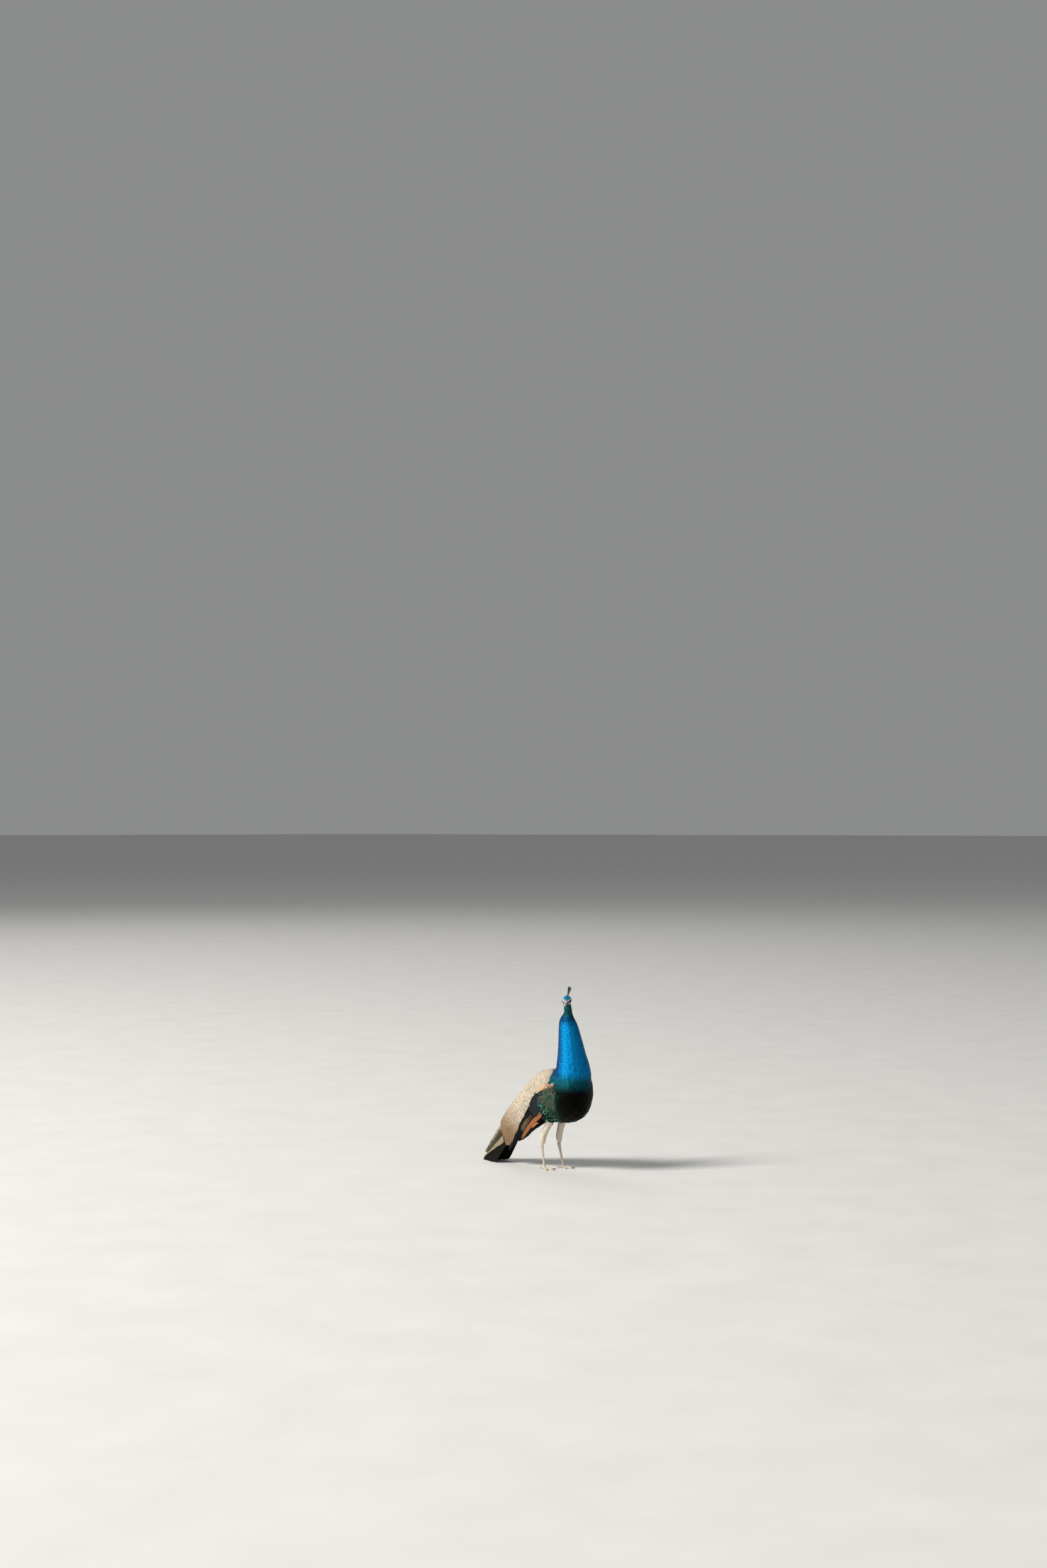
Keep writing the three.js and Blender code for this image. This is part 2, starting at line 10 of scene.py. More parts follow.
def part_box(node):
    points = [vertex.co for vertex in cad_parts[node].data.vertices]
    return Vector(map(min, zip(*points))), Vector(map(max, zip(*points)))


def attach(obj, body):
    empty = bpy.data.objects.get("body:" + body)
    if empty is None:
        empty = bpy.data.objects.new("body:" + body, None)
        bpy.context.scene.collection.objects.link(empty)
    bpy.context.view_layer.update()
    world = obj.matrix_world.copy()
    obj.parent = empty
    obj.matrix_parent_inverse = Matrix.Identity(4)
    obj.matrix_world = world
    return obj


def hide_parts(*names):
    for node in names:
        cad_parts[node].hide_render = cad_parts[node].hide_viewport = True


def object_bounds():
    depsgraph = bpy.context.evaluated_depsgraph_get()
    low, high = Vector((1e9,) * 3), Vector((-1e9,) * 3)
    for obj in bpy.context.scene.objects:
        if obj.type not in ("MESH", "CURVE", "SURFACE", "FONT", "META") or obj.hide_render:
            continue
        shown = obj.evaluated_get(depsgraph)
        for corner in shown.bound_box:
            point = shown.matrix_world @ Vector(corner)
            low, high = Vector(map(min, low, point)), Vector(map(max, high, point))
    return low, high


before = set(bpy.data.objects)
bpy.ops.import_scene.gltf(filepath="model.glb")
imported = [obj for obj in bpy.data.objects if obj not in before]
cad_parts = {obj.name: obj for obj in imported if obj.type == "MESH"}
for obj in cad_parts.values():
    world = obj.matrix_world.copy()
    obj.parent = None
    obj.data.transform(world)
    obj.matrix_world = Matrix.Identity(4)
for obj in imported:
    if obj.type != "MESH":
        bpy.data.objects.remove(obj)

# A life-size Indian peacock: skin, plumage, face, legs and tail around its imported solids.
# Lengths are in metres. Points of the bird are written (forward, left, up), from the floor
# under the middle of its stance, and row() turns them into the row's own frame.

CAD_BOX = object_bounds()
RNG = np.random.default_rng(11)
SIDES = {"left": 1, "right": -1}

CHEST_AHEAD = 0.2228  # how far the chest stands ahead of the middle of the stance
STANCE_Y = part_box("trunk")[0].y + CHEST_AHEAD


def row(points):
    p = np.asarray(points, float)
    return np.stack([p[..., 1], STANCE_Y - p[..., 0], p[..., 2]], axis=-1)


def bird(points):
    p = np.asarray(points, float)
    return np.stack([STANCE_Y - p[..., 1], p[..., 0], p[..., 2]], axis=-1)


def row_way(way):
    """A direction of the bird's own axes in the row frame."""
    return np.stack([way[..., 1], -way[..., 0], way[..., 2]], axis=-1)


def unit(vectors):
    v = np.asarray(vectors, float)
    return v / np.maximum(np.linalg.norm(v, axis=-1, keepdims=True), 1e-12)


def step(low, high, x):
    """0 at low, 1 at high and smooth between them, whichever of the two is greater."""
    t = np.clip((np.asarray(x, float) - low) / (high - low), 0, 1)
    return t * t * (3 - 2 * t)


def blend(share, a, b):
    share = np.asarray(share, float)[..., None]
    return np.asarray(a) * (1 - share) + np.asarray(b) * share


def same(values, count):
    """The same row of numbers count times over."""
    return np.repeat(np.array([values]), count, axis=0)


def laid_flat(way, normal):
    """Directions turned to lie square to their normals."""
    return unit(way - normal * (way * normal).sum(axis=1, keepdims=True))


def quads(rows, columns):
    """The faces of a grid of points, one row after another."""
    grid = np.arange(rows * columns).reshape(rows, columns)
    return np.stack([grid[:-1, :-1], grid[:-1, 1:], grid[1:, 1:], grid[1:, :-1]], axis=-1).reshape(-1, 4)


# ---- camera, light and floor --------------------------------------------------------------

SIGHT_AZIMUTH = math.radians(-50)  # the camera stands off the bird's right front
SIGHT_DROP = math.radians(8.86)  # from the lens down to the bird's feet
SIGHT_LENGTH = 10.93
AIM_RISE = math.radians(1.15)  # the lens looks a little above level
AIM_ASIDE = math.radians(0.79)  # and a little to the left of the bird
FOCAL_LENGTH = 50
# Square soft lights: angle round the bird, measured as the camera's is, height, distance, size,
# power and colour.
LIGHTS = {
    "key": (-118, 18.0, 22.2, 8.4, 11200, (1.0, 0.96, 0.9)),
    "fill": (-20, 13.2, 27.0, 18.0, 650, (0.92, 0.96, 1.0)),
    "back": (150, 19.2, 24.0, 15.0, 1440, (1.0, 0.98, 0.95)),
}
LIGHT_AIM_HEIGHT = 0.5
AIR_COLOUR, AIR_STRENGTH = (0.86, 0.87, 0.88, 1), 0.30
FLOOR_SIZE = 800
FLOOR_SHADES = [(0.3, (0.62, 0.62, 0.61)), (0.7, (0.66, 0.66, 0.65))]


def make_camera():
    data = bpy.data.cameras.new("camera")
    data.lens = FOCAL_LENGTH
    camera = bpy.data.objects.new("camera", data)
    bpy.context.scene.collection.objects.link(camera)
    away = Vector((
        math.sin(SIGHT_AZIMUTH) * math.cos(SIGHT_DROP),
        -math.cos(SIGHT_AZIMUTH) * math.cos(SIGHT_DROP),
        math.sin(SIGHT_DROP),
    ))
    camera.location = Vector((0, STANCE_Y, 0)) + away * SIGHT_LENGTH
    camera.rotation_euler = (math.pi / 2 + AIM_RISE, 0, SIGHT_AZIMUTH + AIM_ASIDE)
    bpy.context.scene.camera = camera


def make_light(name, azimuth, height, distance, size, power, colour):
    data = bpy.data.lights.new(name, "AREA")
    data.size, data.energy, data.color = size, power, colour
    light = bpy.data.objects.new(name, data)
    bpy.context.scene.collection.objects.link(light)
    a = math.radians(azimuth)
    light.location = (distance * math.sin(a), STANCE_Y - distance * math.cos(a), height)
    aim = Vector((0, STANCE_Y, LIGHT_AIM_HEIGHT)) - light.location
    light.rotation_euler = aim.to_track_quat("-Z", "Y").to_euler()


def make_studio():
    bpy.context.scene.view_settings.view_transform = "Standard"
    for name, settings in LIGHTS.items():
        make_light(name, *settings)
    world = bpy.data.worlds.new("studio")
    bpy.context.scene.world = world
    world.use_nodes = True
    air = world.node_tree.nodes["Background"].inputs
    air["Color"].default_value, air["Strength"].default_value = AIR_COLOUR, AIR_STRENGTH
    bpy.ops.mesh.primitive_plane_add(size=FLOOR_SIZE, location=(0, 0, 0))
    floor = bpy.context.object
    floor.name = "floor"
    paint = Finish("floor_paint", roughness=0.75)
    paint.colour(paint.ramp(paint.noise(scale=3.0, detail=4), FLOOR_SHADES))
    floor.data.materials.append(paint.material)


# ---- materials ----------------------------------------------------------------------------


class Finish:
    """A Principled material and short ways to wire up its nodes."""

    def __init__(self, name, roughness=0.5, metallic=0.0, specular=0.5, **inputs):
        self.material = bpy.data.materials.new(name)
        self.material.use_nodes = True
        self.tree = self.material.node_tree
        self.shader = self.tree.nodes["Principled BSDF"]
        settings = {"Roughness": roughness, "Metallic": metallic, "Specular IOR Level": specular}
        settings.update({key.replace("_", " "): value for key, value in inputs.items()})
        for key, value in settings.items():
            self.shader.inputs[key].default_value = value

    def node(self, kind, **settings):
        made = self.tree.nodes.new("ShaderNode" + kind)
        for key, value in settings.items():
            setattr(made, key, value)
        return made

    def feed(self, socket, value):
        if isinstance(value, bpy.types.NodeSocket):
            self.tree.links.new(value, socket)
        elif isinstance(value, tuple) and len(value) == 3 and socket.type == "RGBA":
            socket.default_value = (*value, 1)
        else:
            socket.default_value = value

    def maths(self, operation, *values):
        made = self.node("Math", operation=operation)
        for socket, value in zip(made.inputs, values):
            self.feed(socket, value)
        return made.outputs[0]

    def times(self, a, b):
        return self.maths("MULTIPLY", a, b)

    def rest(self, share):
        """What is left of 1."""
        return self.maths("SUBTRACT", 1.0, share)

    def mix(self, share, a, b, mode="MIX"):
        made = self.node("Mix", data_type="RGBA", blend_type=mode)
        self.feed(made.inputs[0], share)
        self.feed(made.inputs[6], a)
        self.feed(made.inputs[7], b)
        return made.outputs[2]

    def tinted(self, colour, tint):
        return self.mix(1.0, colour, tint, "MULTIPLY")

    def attribute(self, name, output="Color"):
        return self.node("Attribute", attribute_name=name).outputs[output]

    def vane(self):
        """Across a vane from -1 to 1, and along it from 0 to 1."""
        split = self.node("SeparateXYZ")
        self.tree.links.new(self.node("UVMap", uv_map="vane").outputs[0], split.inputs[0])
        return self.maths("MULTIPLY_ADD", split.outputs[0], 2.0, -1.0), split.outputs[1]

    def noise(self, scale, detail=3, vector=None, distortion=0.0):
        made = self.node("TexNoise")
        place = vector or self.node("TexCoord").outputs["Object"]
        self.tree.links.new(place, made.inputs["Vector"])
        made.inputs["Scale"].default_value = scale
        made.inputs["Detail"].default_value = detail
        made.inputs["Distortion"].default_value = distortion
        return made.outputs["Fac"]

    def ramp(self, share, stops):
        made = self.node("ValToRGB")
        self.feed(made.inputs[0], share)
        elements = made.color_ramp.elements
        while len(elements) < len(stops):
            elements.new(0.5)
        for element, (at, colour) in zip(elements, stops):
            element.position = at
            element.color = (*colour, 1)
        return made.outputs[0]

    def between(self, low, high, value):
        """0 at low, 1 at high and smooth between them, whichever of the two is greater."""
        made = self.node("MapRange", interpolation_type="SMOOTHSTEP")
        for socket, given in zip(made.inputs, (value, low, high, 0.0, 1.0)):
            self.feed(socket, given)
        return made.outputs[0]

    def colour(self, value):
        self.feed(self.shader.inputs["Base Color"], value)

    def bump(self, height, strength, distance=0.0003):
        made = self.node("Bump")
        made.inputs["Strength"].default_value = strength
        made.inputs["Distance"].default_value = distance
        self.feed(made.inputs["Height"], height)
        self.tree.links.new(made.outputs[0], self.shader.inputs["Normal"])


def barbs(finish, across, along, fineness=26):
    """Fine ridges that slant out from the shaft, with the raised shaft, and the shaft alone."""
    outward = finish.maths("ABSOLUTE", across)
    slant = finish.maths("MULTIPLY_ADD", outward, -0.35, along)
    ridges = finish.maths("SINE", finish.times(slant, 2 * math.pi * fineness))
    shaft = finish.rest(finish.between(0.02, 0.09, outward))
    return finish.maths("MULTIPLY_ADD", shaft, 2.0, ridges), shaft


def shaded(finish, colour, amount, ridges):
    """A colour with lighter and darker barbs."""
    level = finish.maths("MULTIPLY_ADD", ridges, amount, 1 - amount)
    grey = finish.node("CombineColor")
    for socket in grey.inputs:
        finish.feed(socket, level)
    return finish.tinted(colour, grey.outputs[0])


def plumage_finish(name, roughness, metallic, under=0.5, fringe=(0.9, 1.05)):
    """Body feathers: painted shade darkens each where it goes under others, and they are fringed with their
    second colour.
    """
    finish = Finish(name, roughness, metallic, specular=0.06)
    across, along = finish.vane()
    ridges, _ = barbs(finish, across, along)
    own_colour = finish.attribute("plumage")
    # painted shade: the root end of each vane, where others cover it, is darkened to the under share
    dark = finish.tinted(own_colour, (under, under, under))
    shown = finish.mix(finish.between(0.1, 0.7, along), dark, own_colour)
    rim = finish.maths("MAXIMUM", along, finish.times(finish.maths("ABSOLUTE", across), 0.96))
    edge = finish.times(finish.between(*fringe, rim), finish.attribute("ink", "Alpha"))
    shown = finish.mix(edge, shown, finish.attribute("ink"))
    finish.colour(shaded(finish, shown, 0.06, ridges))
    finish.bump(ridges, 0.35)
    return finish.material


def barred_finish(name):
    """Cream feathers crossed by broken brown-black bars and faint lines, with a plain fringe."""
    finish = Finish(name, roughness=0.75, specular=0.1)
    across, along = finish.vane()
    ridges, _ = barbs(finish, across, along)
    outward = finish.maths("ABSOLUTE", across)
    from_tip = finish.rest(along)
    steps = finish.times(from_tip, finish.attribute("bars", "Fac"))
    place = finish.node("CombineXYZ")
    finish.feed(place.inputs[0], finish.times(across, 1.3))
    finish.feed(place.inputs[1], finish.times(steps, 1.2))
    finish.feed(place.inputs[2], finish.times(finish.attribute("seed", "Fac"), 50))
    wobble = finish.times(finish.noise(1.0, 2, place.outputs[0]), 0.9)
    curve = finish.times(finish.maths("POWER", outward, 1.6), -0.35)
    phase = finish.maths("ADD", finish.maths("ADD", steps, curve), wobble)
    turn = finish.times(finish.maths("SUBTRACT", phase, 0.80), 2 * math.pi)
    bar = finish.between(0.15, 0.55, finish.maths("COSINE", turn))
    whole = finish.between(0.30, 0.42, finish.noise(2.2, 2, place.outputs[0]))
    bold = finish.times(finish.times(bar, whole), finish.between(0.98, 0.62, outward))
    fine = finish.maths("SINE", finish.times(phase, 6 * math.pi))
    faint = finish.times(finish.between(0.2, 0.8, fine), 0.14)
    dark = finish.times(finish.maths("MAXIMUM", bold, faint), finish.attribute("ink", "Alpha"))
    dark = finish.times(dark, finish.between(0.02, 0.06, from_tip))
    shown = finish.mix(dark, finish.attribute("plumage"), finish.attribute("ink"))
    # painted shade: each vane is darkened towards its root, where others cover it
    deep = finish.tinted(shown, (0.6, 0.56, 0.5))
    shown = finish.mix(finish.between(0.15, 0.6, along), deep, shown)
    finish.colour(shaded(finish, shown, 0.05, ridges))
    finish.bump(ridges, 0.3)
    return finish.material


def quill_finish(name, roughness, shaft_colour=(0.03, 0.022, 0.018), tip=(0.965, 0.99), fineness=160):
    """Long feathers with a glossy shaft, mottled faintly, that turn to their second colour at the tip."""
    finish = Finish(name, roughness, specular=0.08)
    across, along = finish.vane()
    ridges, shaft = barbs(finish, across, along, fineness)
    base = finish.attribute("plumage")
    mottle = finish.times(finish.noise(60, 4), 0.6)
    mottled = finish.mix(mottle, base, finish.tinted(base, (0.4, 0.4, 0.42)))
    fringe = finish.times(finish.between(*tip, along), finish.attribute("ink", "Alpha"))
    tipped = finish.mix(fringe, mottled, finish.attribute("ink"))
    shown = finish.mix(finish.times(shaft, 0.8), tipped, shaft_colour)
    finish.colour(shaded(finish, shown, 0.08, ridges))
    finish.bump(ridges, 0.35)
    return finish.material


# ---- surfaces -----------------------------------------------------------------------------


def mesh_arrays(mesh):
    mesh.calc_loop_triangles()
    co = np.empty(len(mesh.vertices) * 3)
    mesh.vertices.foreach_get("co", co)
    tris = np.empty(len(mesh.loop_triangles) * 3, np.int32)
    mesh.loop_triangles.foreach_get("vertices", tris)
    return co.reshape(-1, 3), tris.reshape(-1, 3)


def joined(nodes):
    """The vertices and triangles of several CAD nodes together."""
    parts, faces, count = [], [], 0
    for node in nodes:
        co, tris = mesh_arrays(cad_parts[node].data)
        parts.append(co)
        faces.append(tris + count)
        count += len(co)
    return np.concatenate(parts), np.concatenate(faces)


class Surface:
    """A triangle mesh that answers where its nearest point is, with a smooth normal there."""

    def __init__(self, co, tris):
        self.co, self.tris = co, tris
        self.tree = BVHTree.FromPolygons(co.tolist(), tris.tolist())
        corners = co[tris]
        self.cross = np.cross(corners[:, 1] - corners[:, 0], corners[:, 2] - corners[:, 0])
        self.area = np.linalg.norm(self.cross, axis=1) / 2
        self.middle = corners.mean(axis=1)
        normals = np.zeros_like(co)
        for corner in range(3):
            for axis in range(3):
                normals[:, axis] += np.bincount(tris[:, corner], self.cross[:, axis], len(co))
        self.normals = unit(normals)

    def nearest(self, points):
        flat = np.asarray(points, float).reshape(-1, 3)
        place, face = np.empty_like(flat), np.empty(len(flat), int)
        find = self.tree.find_nearest
        for i, p in enumerate(flat.tolist()):
            hit = find(p)
            place[i], face[i] = hit[0], hit[2]
        near = self.tris[face]
        weight = 1 / (np.linalg.norm(self.co[near] - place[:, None], axis=-1) + 1e-5)
        normal = unit((self.normals[near] * weight[..., None]).sum(axis=1))
        shape = np.shape(points)
        return place.reshape(shape), normal.reshape(shape), face.reshape(shape[:-1])

    def distance(self, points):
        find = self.tree.find_nearest
        return np.array([find(p)[3] for p in points.tolist()])


def relaxed(co, tris, turns):
    """Smoothing that draws points in and lets them out by turns, which keeps the volume."""
    edges = np.concatenate([tris[:, [0, 1]], tris[:, [1, 2]], tris[:, [2, 0]]])
    a, b = np.concatenate([edges, edges[:, ::-1]]).T
    degree = np.maximum(np.bincount(a, minlength=len(co)), 1)[:, None]
    for turn in range(turns):
        mean = np.stack([np.bincount(a, co[b, axis], len(co)) for axis in range(3)], axis=1) / degree
        co = co + (-0.62 if turn % 2 else 0.6) * (mean - co)
    return co


def remeshed(name, co, tris, voxel):
    mesh = bpy.data.meshes.new(name)
    mesh.from_pydata(co.tolist(), [], tris.tolist())
    thing = bpy.data.objects.new(name, mesh)
    bpy.context.scene.collection.objects.link(thing)
    modifier = thing.modifiers.new("remesh", "REMESH")
    modifier.mode, modifier.voxel_size = "VOXEL", voxel
    shown = thing.evaluated_get(bpy.context.evaluated_depsgraph_get())
    made = bpy.data.meshes.new_from_object(shown)
    bpy.data.objects.remove(thing)
    arrays = mesh_arrays(made)
    bpy.data.meshes.remove(made)
    return arrays


def halved(co, tris, chosen):
    """Cuts every edge of the chosen triangles in half, and cuts their neighbours to match."""
    count = len(co)
    ends = np.sort(tris[:, [[0, 1], [1, 2], [2, 0]]], axis=2).astype(np.int64)
    keys = ends[..., 0] * count + ends[..., 1]
    split = np.unique(keys[chosen])
    at = np.minimum(np.searchsorted(split, keys), len(split) - 1)
    cut = split[at] == keys
    middle = at + count
    co = np.concatenate([co, (co[split // count] + co[split % count]) / 2])
    made = [tris[~cut.any(axis=1)]]
    cuts = cut.sum(axis=1)
    turn = np.where(cuts == 1, cut.argmax(axis=1), (~cut).argmax(axis=1) + 1)
    order = (np.arange(3) + turn[:, None]) % 3
    a, b, c = np.take_along_axis(tris, order, axis=1).T
    m, n, o = np.take_along_axis(middle, order, axis=1).T
    for pattern, rows in (
        ([(a, m, c), (m, b, c)], cuts == 1),
        ([(m, b, n), (a, m, n), (a, n, c)], cuts == 2),
        ([(a, m, o), (m, b, n), (o, n, c), (m, n, o)], cuts == 3),
    ):
        made += [np.stack(corners, axis=1)[rows] for corners in pattern]
    return co, np.concatenate(made).astype(np.int32)


def make_piece(name, co, faces, material, *, colours=None, ink=None, floats=None, maps=None):
    """A mesh object from arrays. Faces all have the same number of corners."""
    mesh = bpy.data.meshes.new(name)
    faces = np.asarray(faces, np.int32)
    corners = faces.shape[1]
    mesh.vertices.add(len(co))
    mesh.vertices.foreach_set("co", np.asarray(co, np.float32).ravel())
    mesh.loops.add(faces.size)
    mesh.loops.foreach_set("vertex_index", faces.ravel())
    mesh.polygons.add(len(faces))
    mesh.polygons.foreach_set("loop_start", np.arange(0, faces.size, corners, dtype=np.int32))
    mesh.polygons.foreach_set("loop_total", np.full(len(faces), corners, np.int32))
    mesh.update(calc_edges=True)
    mesh.polygons.foreach_set("use_smooth", np.ones(len(faces), bool))
    for key, values in {"plumage": colours, "ink": ink}.items():
        if values is not None:
            layer = mesh.attributes.new(key, "FLOAT_COLOR", "POINT")
            values = np.asarray(values, np.float32)
            if values.shape[1] == 3:
                values = np.concatenate([values, np.ones((len(values), 1), np.float32)], axis=1)
            layer.data.foreach_set("color", values.ravel())
    for key, values in (floats or {}).items():
        layer = mesh.attributes.new(key, "FLOAT", "POINT")
        layer.data.foreach_set("value", np.asarray(values, np.float32))
    for key, values in (maps or {}).items():
        layer = mesh.uv_layers.new(name=key)
        layer.data.foreach_set("uv", np.asarray(values, np.float32)[faces.ravel()].ravel())
    mesh.materials.append(material)
    piece = bpy.data.objects.new(name, mesh)
    bpy.context.scene.collection.objects.link(piece)
    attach(piece, "root")
    return piece


# ---- the head's own frame -----------------------------------------------------------------

HEAD_PITCH = math.radians(8)  # the head's axis points this far down, towards the bill
EYE_FORWARD, EYE_ASIDE, EYE_UP, EYE_RADIUS = 0.010, 0.0148, 0.001, 0.0066


def middle_of(node):
    low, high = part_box(node)
    return np.array((low + high) / 2)


def make_head_frame():
    """The head's middle, and its axes towards the bill, to its left and up."""
    left_eye, right_eye = middle_of("eye_left"), middle_of("eye_right")
    side = unit(left_eye - right_eye)
    level = unit(np.cross(side, (0, 0, 1)))
    forward = level * math.cos(HEAD_PITCH) - np.array([0, 0, math.sin(HEAD_PITCH)])
    up = np.cross(forward, side)
    origin = (left_eye + right_eye) / 2 - forward * EYE_FORWARD - up * EYE_UP
    return origin, np.stack([forward, side, up])


HEAD_ORIGIN, HEAD_AXES = make_head_frame()


def head_place(points):
    """Points of the row frame in the head's own frame."""
    return (np.asarray(points) - HEAD_ORIGIN) @ HEAD_AXES.T


def from_head(points):
    return np.asarray(points) @ HEAD_AXES + HEAD_ORIGIN


# ---- the lie of the plumage ---------------------------------------------------------------

# Lines that the feathers follow from front to back, as (forward, left, up).
BODY_LINE = [
    (0.095, -0.004, 0.809), (0.094, 0, 0.772), (0.090, 0, 0.735), (0.096, 0, 0.680), (0.106, 0, 0.620),
    (0.115, 0, 0.560), (0.121, 0, 0.500), (0.128, 0, 0.450), (0.090, 0, 0.395), (0.040, 0, 0.362),
    (-0.020, 0, 0.336), (-0.080, 0, 0.312), (-0.140, 0, 0.280), (-0.190, 0, 0.240),
]
WING_LINE = [
    (0.124, 0, 0.450), (0.090, 0, 0.480), (0.030, 0, 0.503), (-0.040, 0, 0.495), (-0.098, 0, 0.462),
    (-0.170, 0, 0.396), (-0.228, 0, 0.337), (-0.288, 0, 0.271), (-0.344, 0, 0.204), (-0.384, 0, 0.156),
]
TAIL_LINE = [(-0.130, 0, 0.366), (-0.472, 0, 0.0)]
VENT_LINE = [(-0.044, 0, 0.262), (-0.092, 0, 0.226), (-0.140, 0, 0.196), (-0.228, 0, 0.112)]
THIGH_LINES = {
    "left": [(0.036, 0.042, 0.288), (0.000, 0.0485, 0.180), (-0.002, 0.048, 0.117)],
    "right": [(0.034, -0.044, 0.288), (-0.017, -0.0490, 0.180), (-0.029, -0.048, 0.118)],
}
# The parts of the coat, and the CAD nodes under each.
GROUPS = {
    "head": ["head"],
    "neck": ["neck_upper", "neck_middle", "neck_lower"],
    "trunk": ["trunk"],
    "wing": ["wing_left", "wing_right"],
    "train": ["tail_coverts"],
    "vent": ["undertail"],
    "thigh": ["thigh_left", "thigh_right"],
}
GROUP_NAMES = list(GROUPS)


def belongs(group, name):
    return group == GROUP_NAMES.index(name)


def along_line(line, points, flat=False, reach=0.03, samples=8):
    """The direction of a line near each point. A flat line is compared in side view only."""
    ends = np.asarray(line, float)
    share = np.arange(samples)[:, None] / samples
    places = np.concatenate([a + (b - a) * share for a, b in zip(ends[:-1], ends[1:])])
    ways = np.repeat(unit(ends[1:] - ends[:-1]), samples, axis=0)
    used = [0, 2] if flat else [0, 1, 2]
    away = np.linalg.norm(points[:, None, used] - places[None][:, :, used], axis=-1)
    weight = np.exp(-((away**2 - away.min(axis=1, keepdims=True) ** 2) / reach**2))
    return unit(weight @ ways)


BILL_ROOT = (0.034, 0, -0.010)  # in the head's frame, where the feathers of the head spread from


def lie(points, group):
    """Which way the plumage lies at points of the row frame, before it is laid flat on the skin."""
    p = bird(points)
    way = along_line(BODY_LINE, p)
    for name, line in (("wing", WING_LINE), ("train", TAIL_LINE), ("vent", VENT_LINE)):
        chosen = belongs(group, name)
        if chosen.any():
            way[chosen] = along_line(line, p[chosen], flat=True)
    for side, sign in SIDES.items():
        chosen = belongs(group, "thigh") & (p[:, 1] * sign > 0)
        if chosen.any():
            way[chosen] = along_line(THIGH_LINES[side], p[chosen])
    way = row_way(way)
    h = head_place(points)
    from_bill = unit(h - np.array(BILL_ROOT)) @ HEAD_AXES
    near_head = 1 - step(0.030, 0.052, np.linalg.norm(h, axis=1))
    return unit(blend(near_head, way, from_bill))


# ---- skin ---------------------------------------------------------------------------------

SKIN_VOXEL = 0.0036
SKIN_TURNS, FACE_TURNS, COAT_TURNS = 16, 6, 4  # of smoothing: at first, on the cut face, under the coat
FACE_CUTS = (0.774, 0.794)  # heights above which the skin's mesh is halved, and halved again
SKIN_NODES = [node for nodes in GROUPS.values() for node in nodes]
EYE_NODES = ["eye_left", "eye_right"]
# How far the skin lies inside the solids.
COAT_DEPTH = {"head": 0.0011, "neck": 0.0020, "trunk": 0.0030, "wing": 0.0024,
              "train": 0.0026, "vent": 0.0040, "thigh": 0.0014}
LID_OPENING = np.array([0.0050, 0.0042])  # half the length and height of the eye between its lids
LID_RISE, LID_SINK = 0.0007, 0.0014  # of the skin on the lids and behind them, from the eyeball's face
LID_REACH = 0.016
CROWN_GROOVE = 0.0012
BILL_BASE = 0.031


def coat_depth(points, group):
    """The coat's depth at points of the skin. It halves up the neck to the head."""
    depth = np.array([COAT_DEPTH[name] for name in GROUP_NAMES])[group]
    thins = belongs(group, "head") | belongs(group, "neck")
    return depth * (1 - 0.5 * thins * step(0.68, 0.81, bird(points)[:, 2]))


def nearest_group(points):
    gaps = [Surface(*joined(nodes)).distance(points) for nodes in GROUPS.values()]
    return np.argmin(np.stack(gaps), axis=0)


def eye_axis(sign):
    return unit(np.array([0.20, sign, 0.05]))


def eye_place(h, sign):
    """How far points of the head are out along the eye's axis, and round it as a share of the opening."""
    out = h - np.array([EYE_FORWARD, sign * EYE_ASIDE, EYE_UP])
    axis = eye_axis(sign)
    far = out @ axis
    flat = out - far[:, None] * axis
    return out, far, np.hypot(flat[:, 0] / LID_OPENING[0], flat[:, 2] / LID_OPENING[1])


def shaped_face(co):
    """Sinks the crown's middle and opens the lids over the eyeballs."""
    h = head_place(co)
    groove = (1 - step(0.0, 0.0035, np.abs(h[:, 1]))) * step(0.004, 0.014, h[:, 2])
    h[:, 2] -= CROWN_GROOVE * groove * step(0.026, 0.016, np.abs(h[:, 0]))
    for sign in SIDES.values():
        out, far, ring = eye_place(h, sign)
        length = np.linalg.norm(out, axis=1)
        wanted = EYE_RADIUS - LID_SINK + (LID_RISE + LID_SINK) * step(0.86, 1.04, ring)
        share = np.where((far > 0) & (length < LID_REACH), 1 - step(1.35, 2.0, ring), 0)
        h += unit(out) * (share * (wanted - length))[:, None]
    return from_head(h)


HOCK_HEIGHTS = (0.118, 0.144)  # from the thigh's lower end up to where it begins to narrow
THIGH_PULL, LEG_PULL = 0.24, 0.36  # how far the skin of each is drawn in there


def narrowed(co, share, start):
    """Draws the thighs' lower ends in towards the shanks, from a start height upwards."""
    low, high = HOCK_HEIGHTS
    co = co.copy()
    for side, sign in SIDES.items():
        axis = row(np.array(THIGH_LINES[side][-1]))
        own = (co[:, 0] * sign > 0) & (np.linalg.norm(co[:, :2] - axis[:2], axis=1) < 0.035)
        pull = share * own * step(high, low, co[:, 2]) * step(start, start + 0.003, co[:, 2])
        co[:, :2] += (axis[:2] - co[:, :2]) * pull[:, None]
    return co


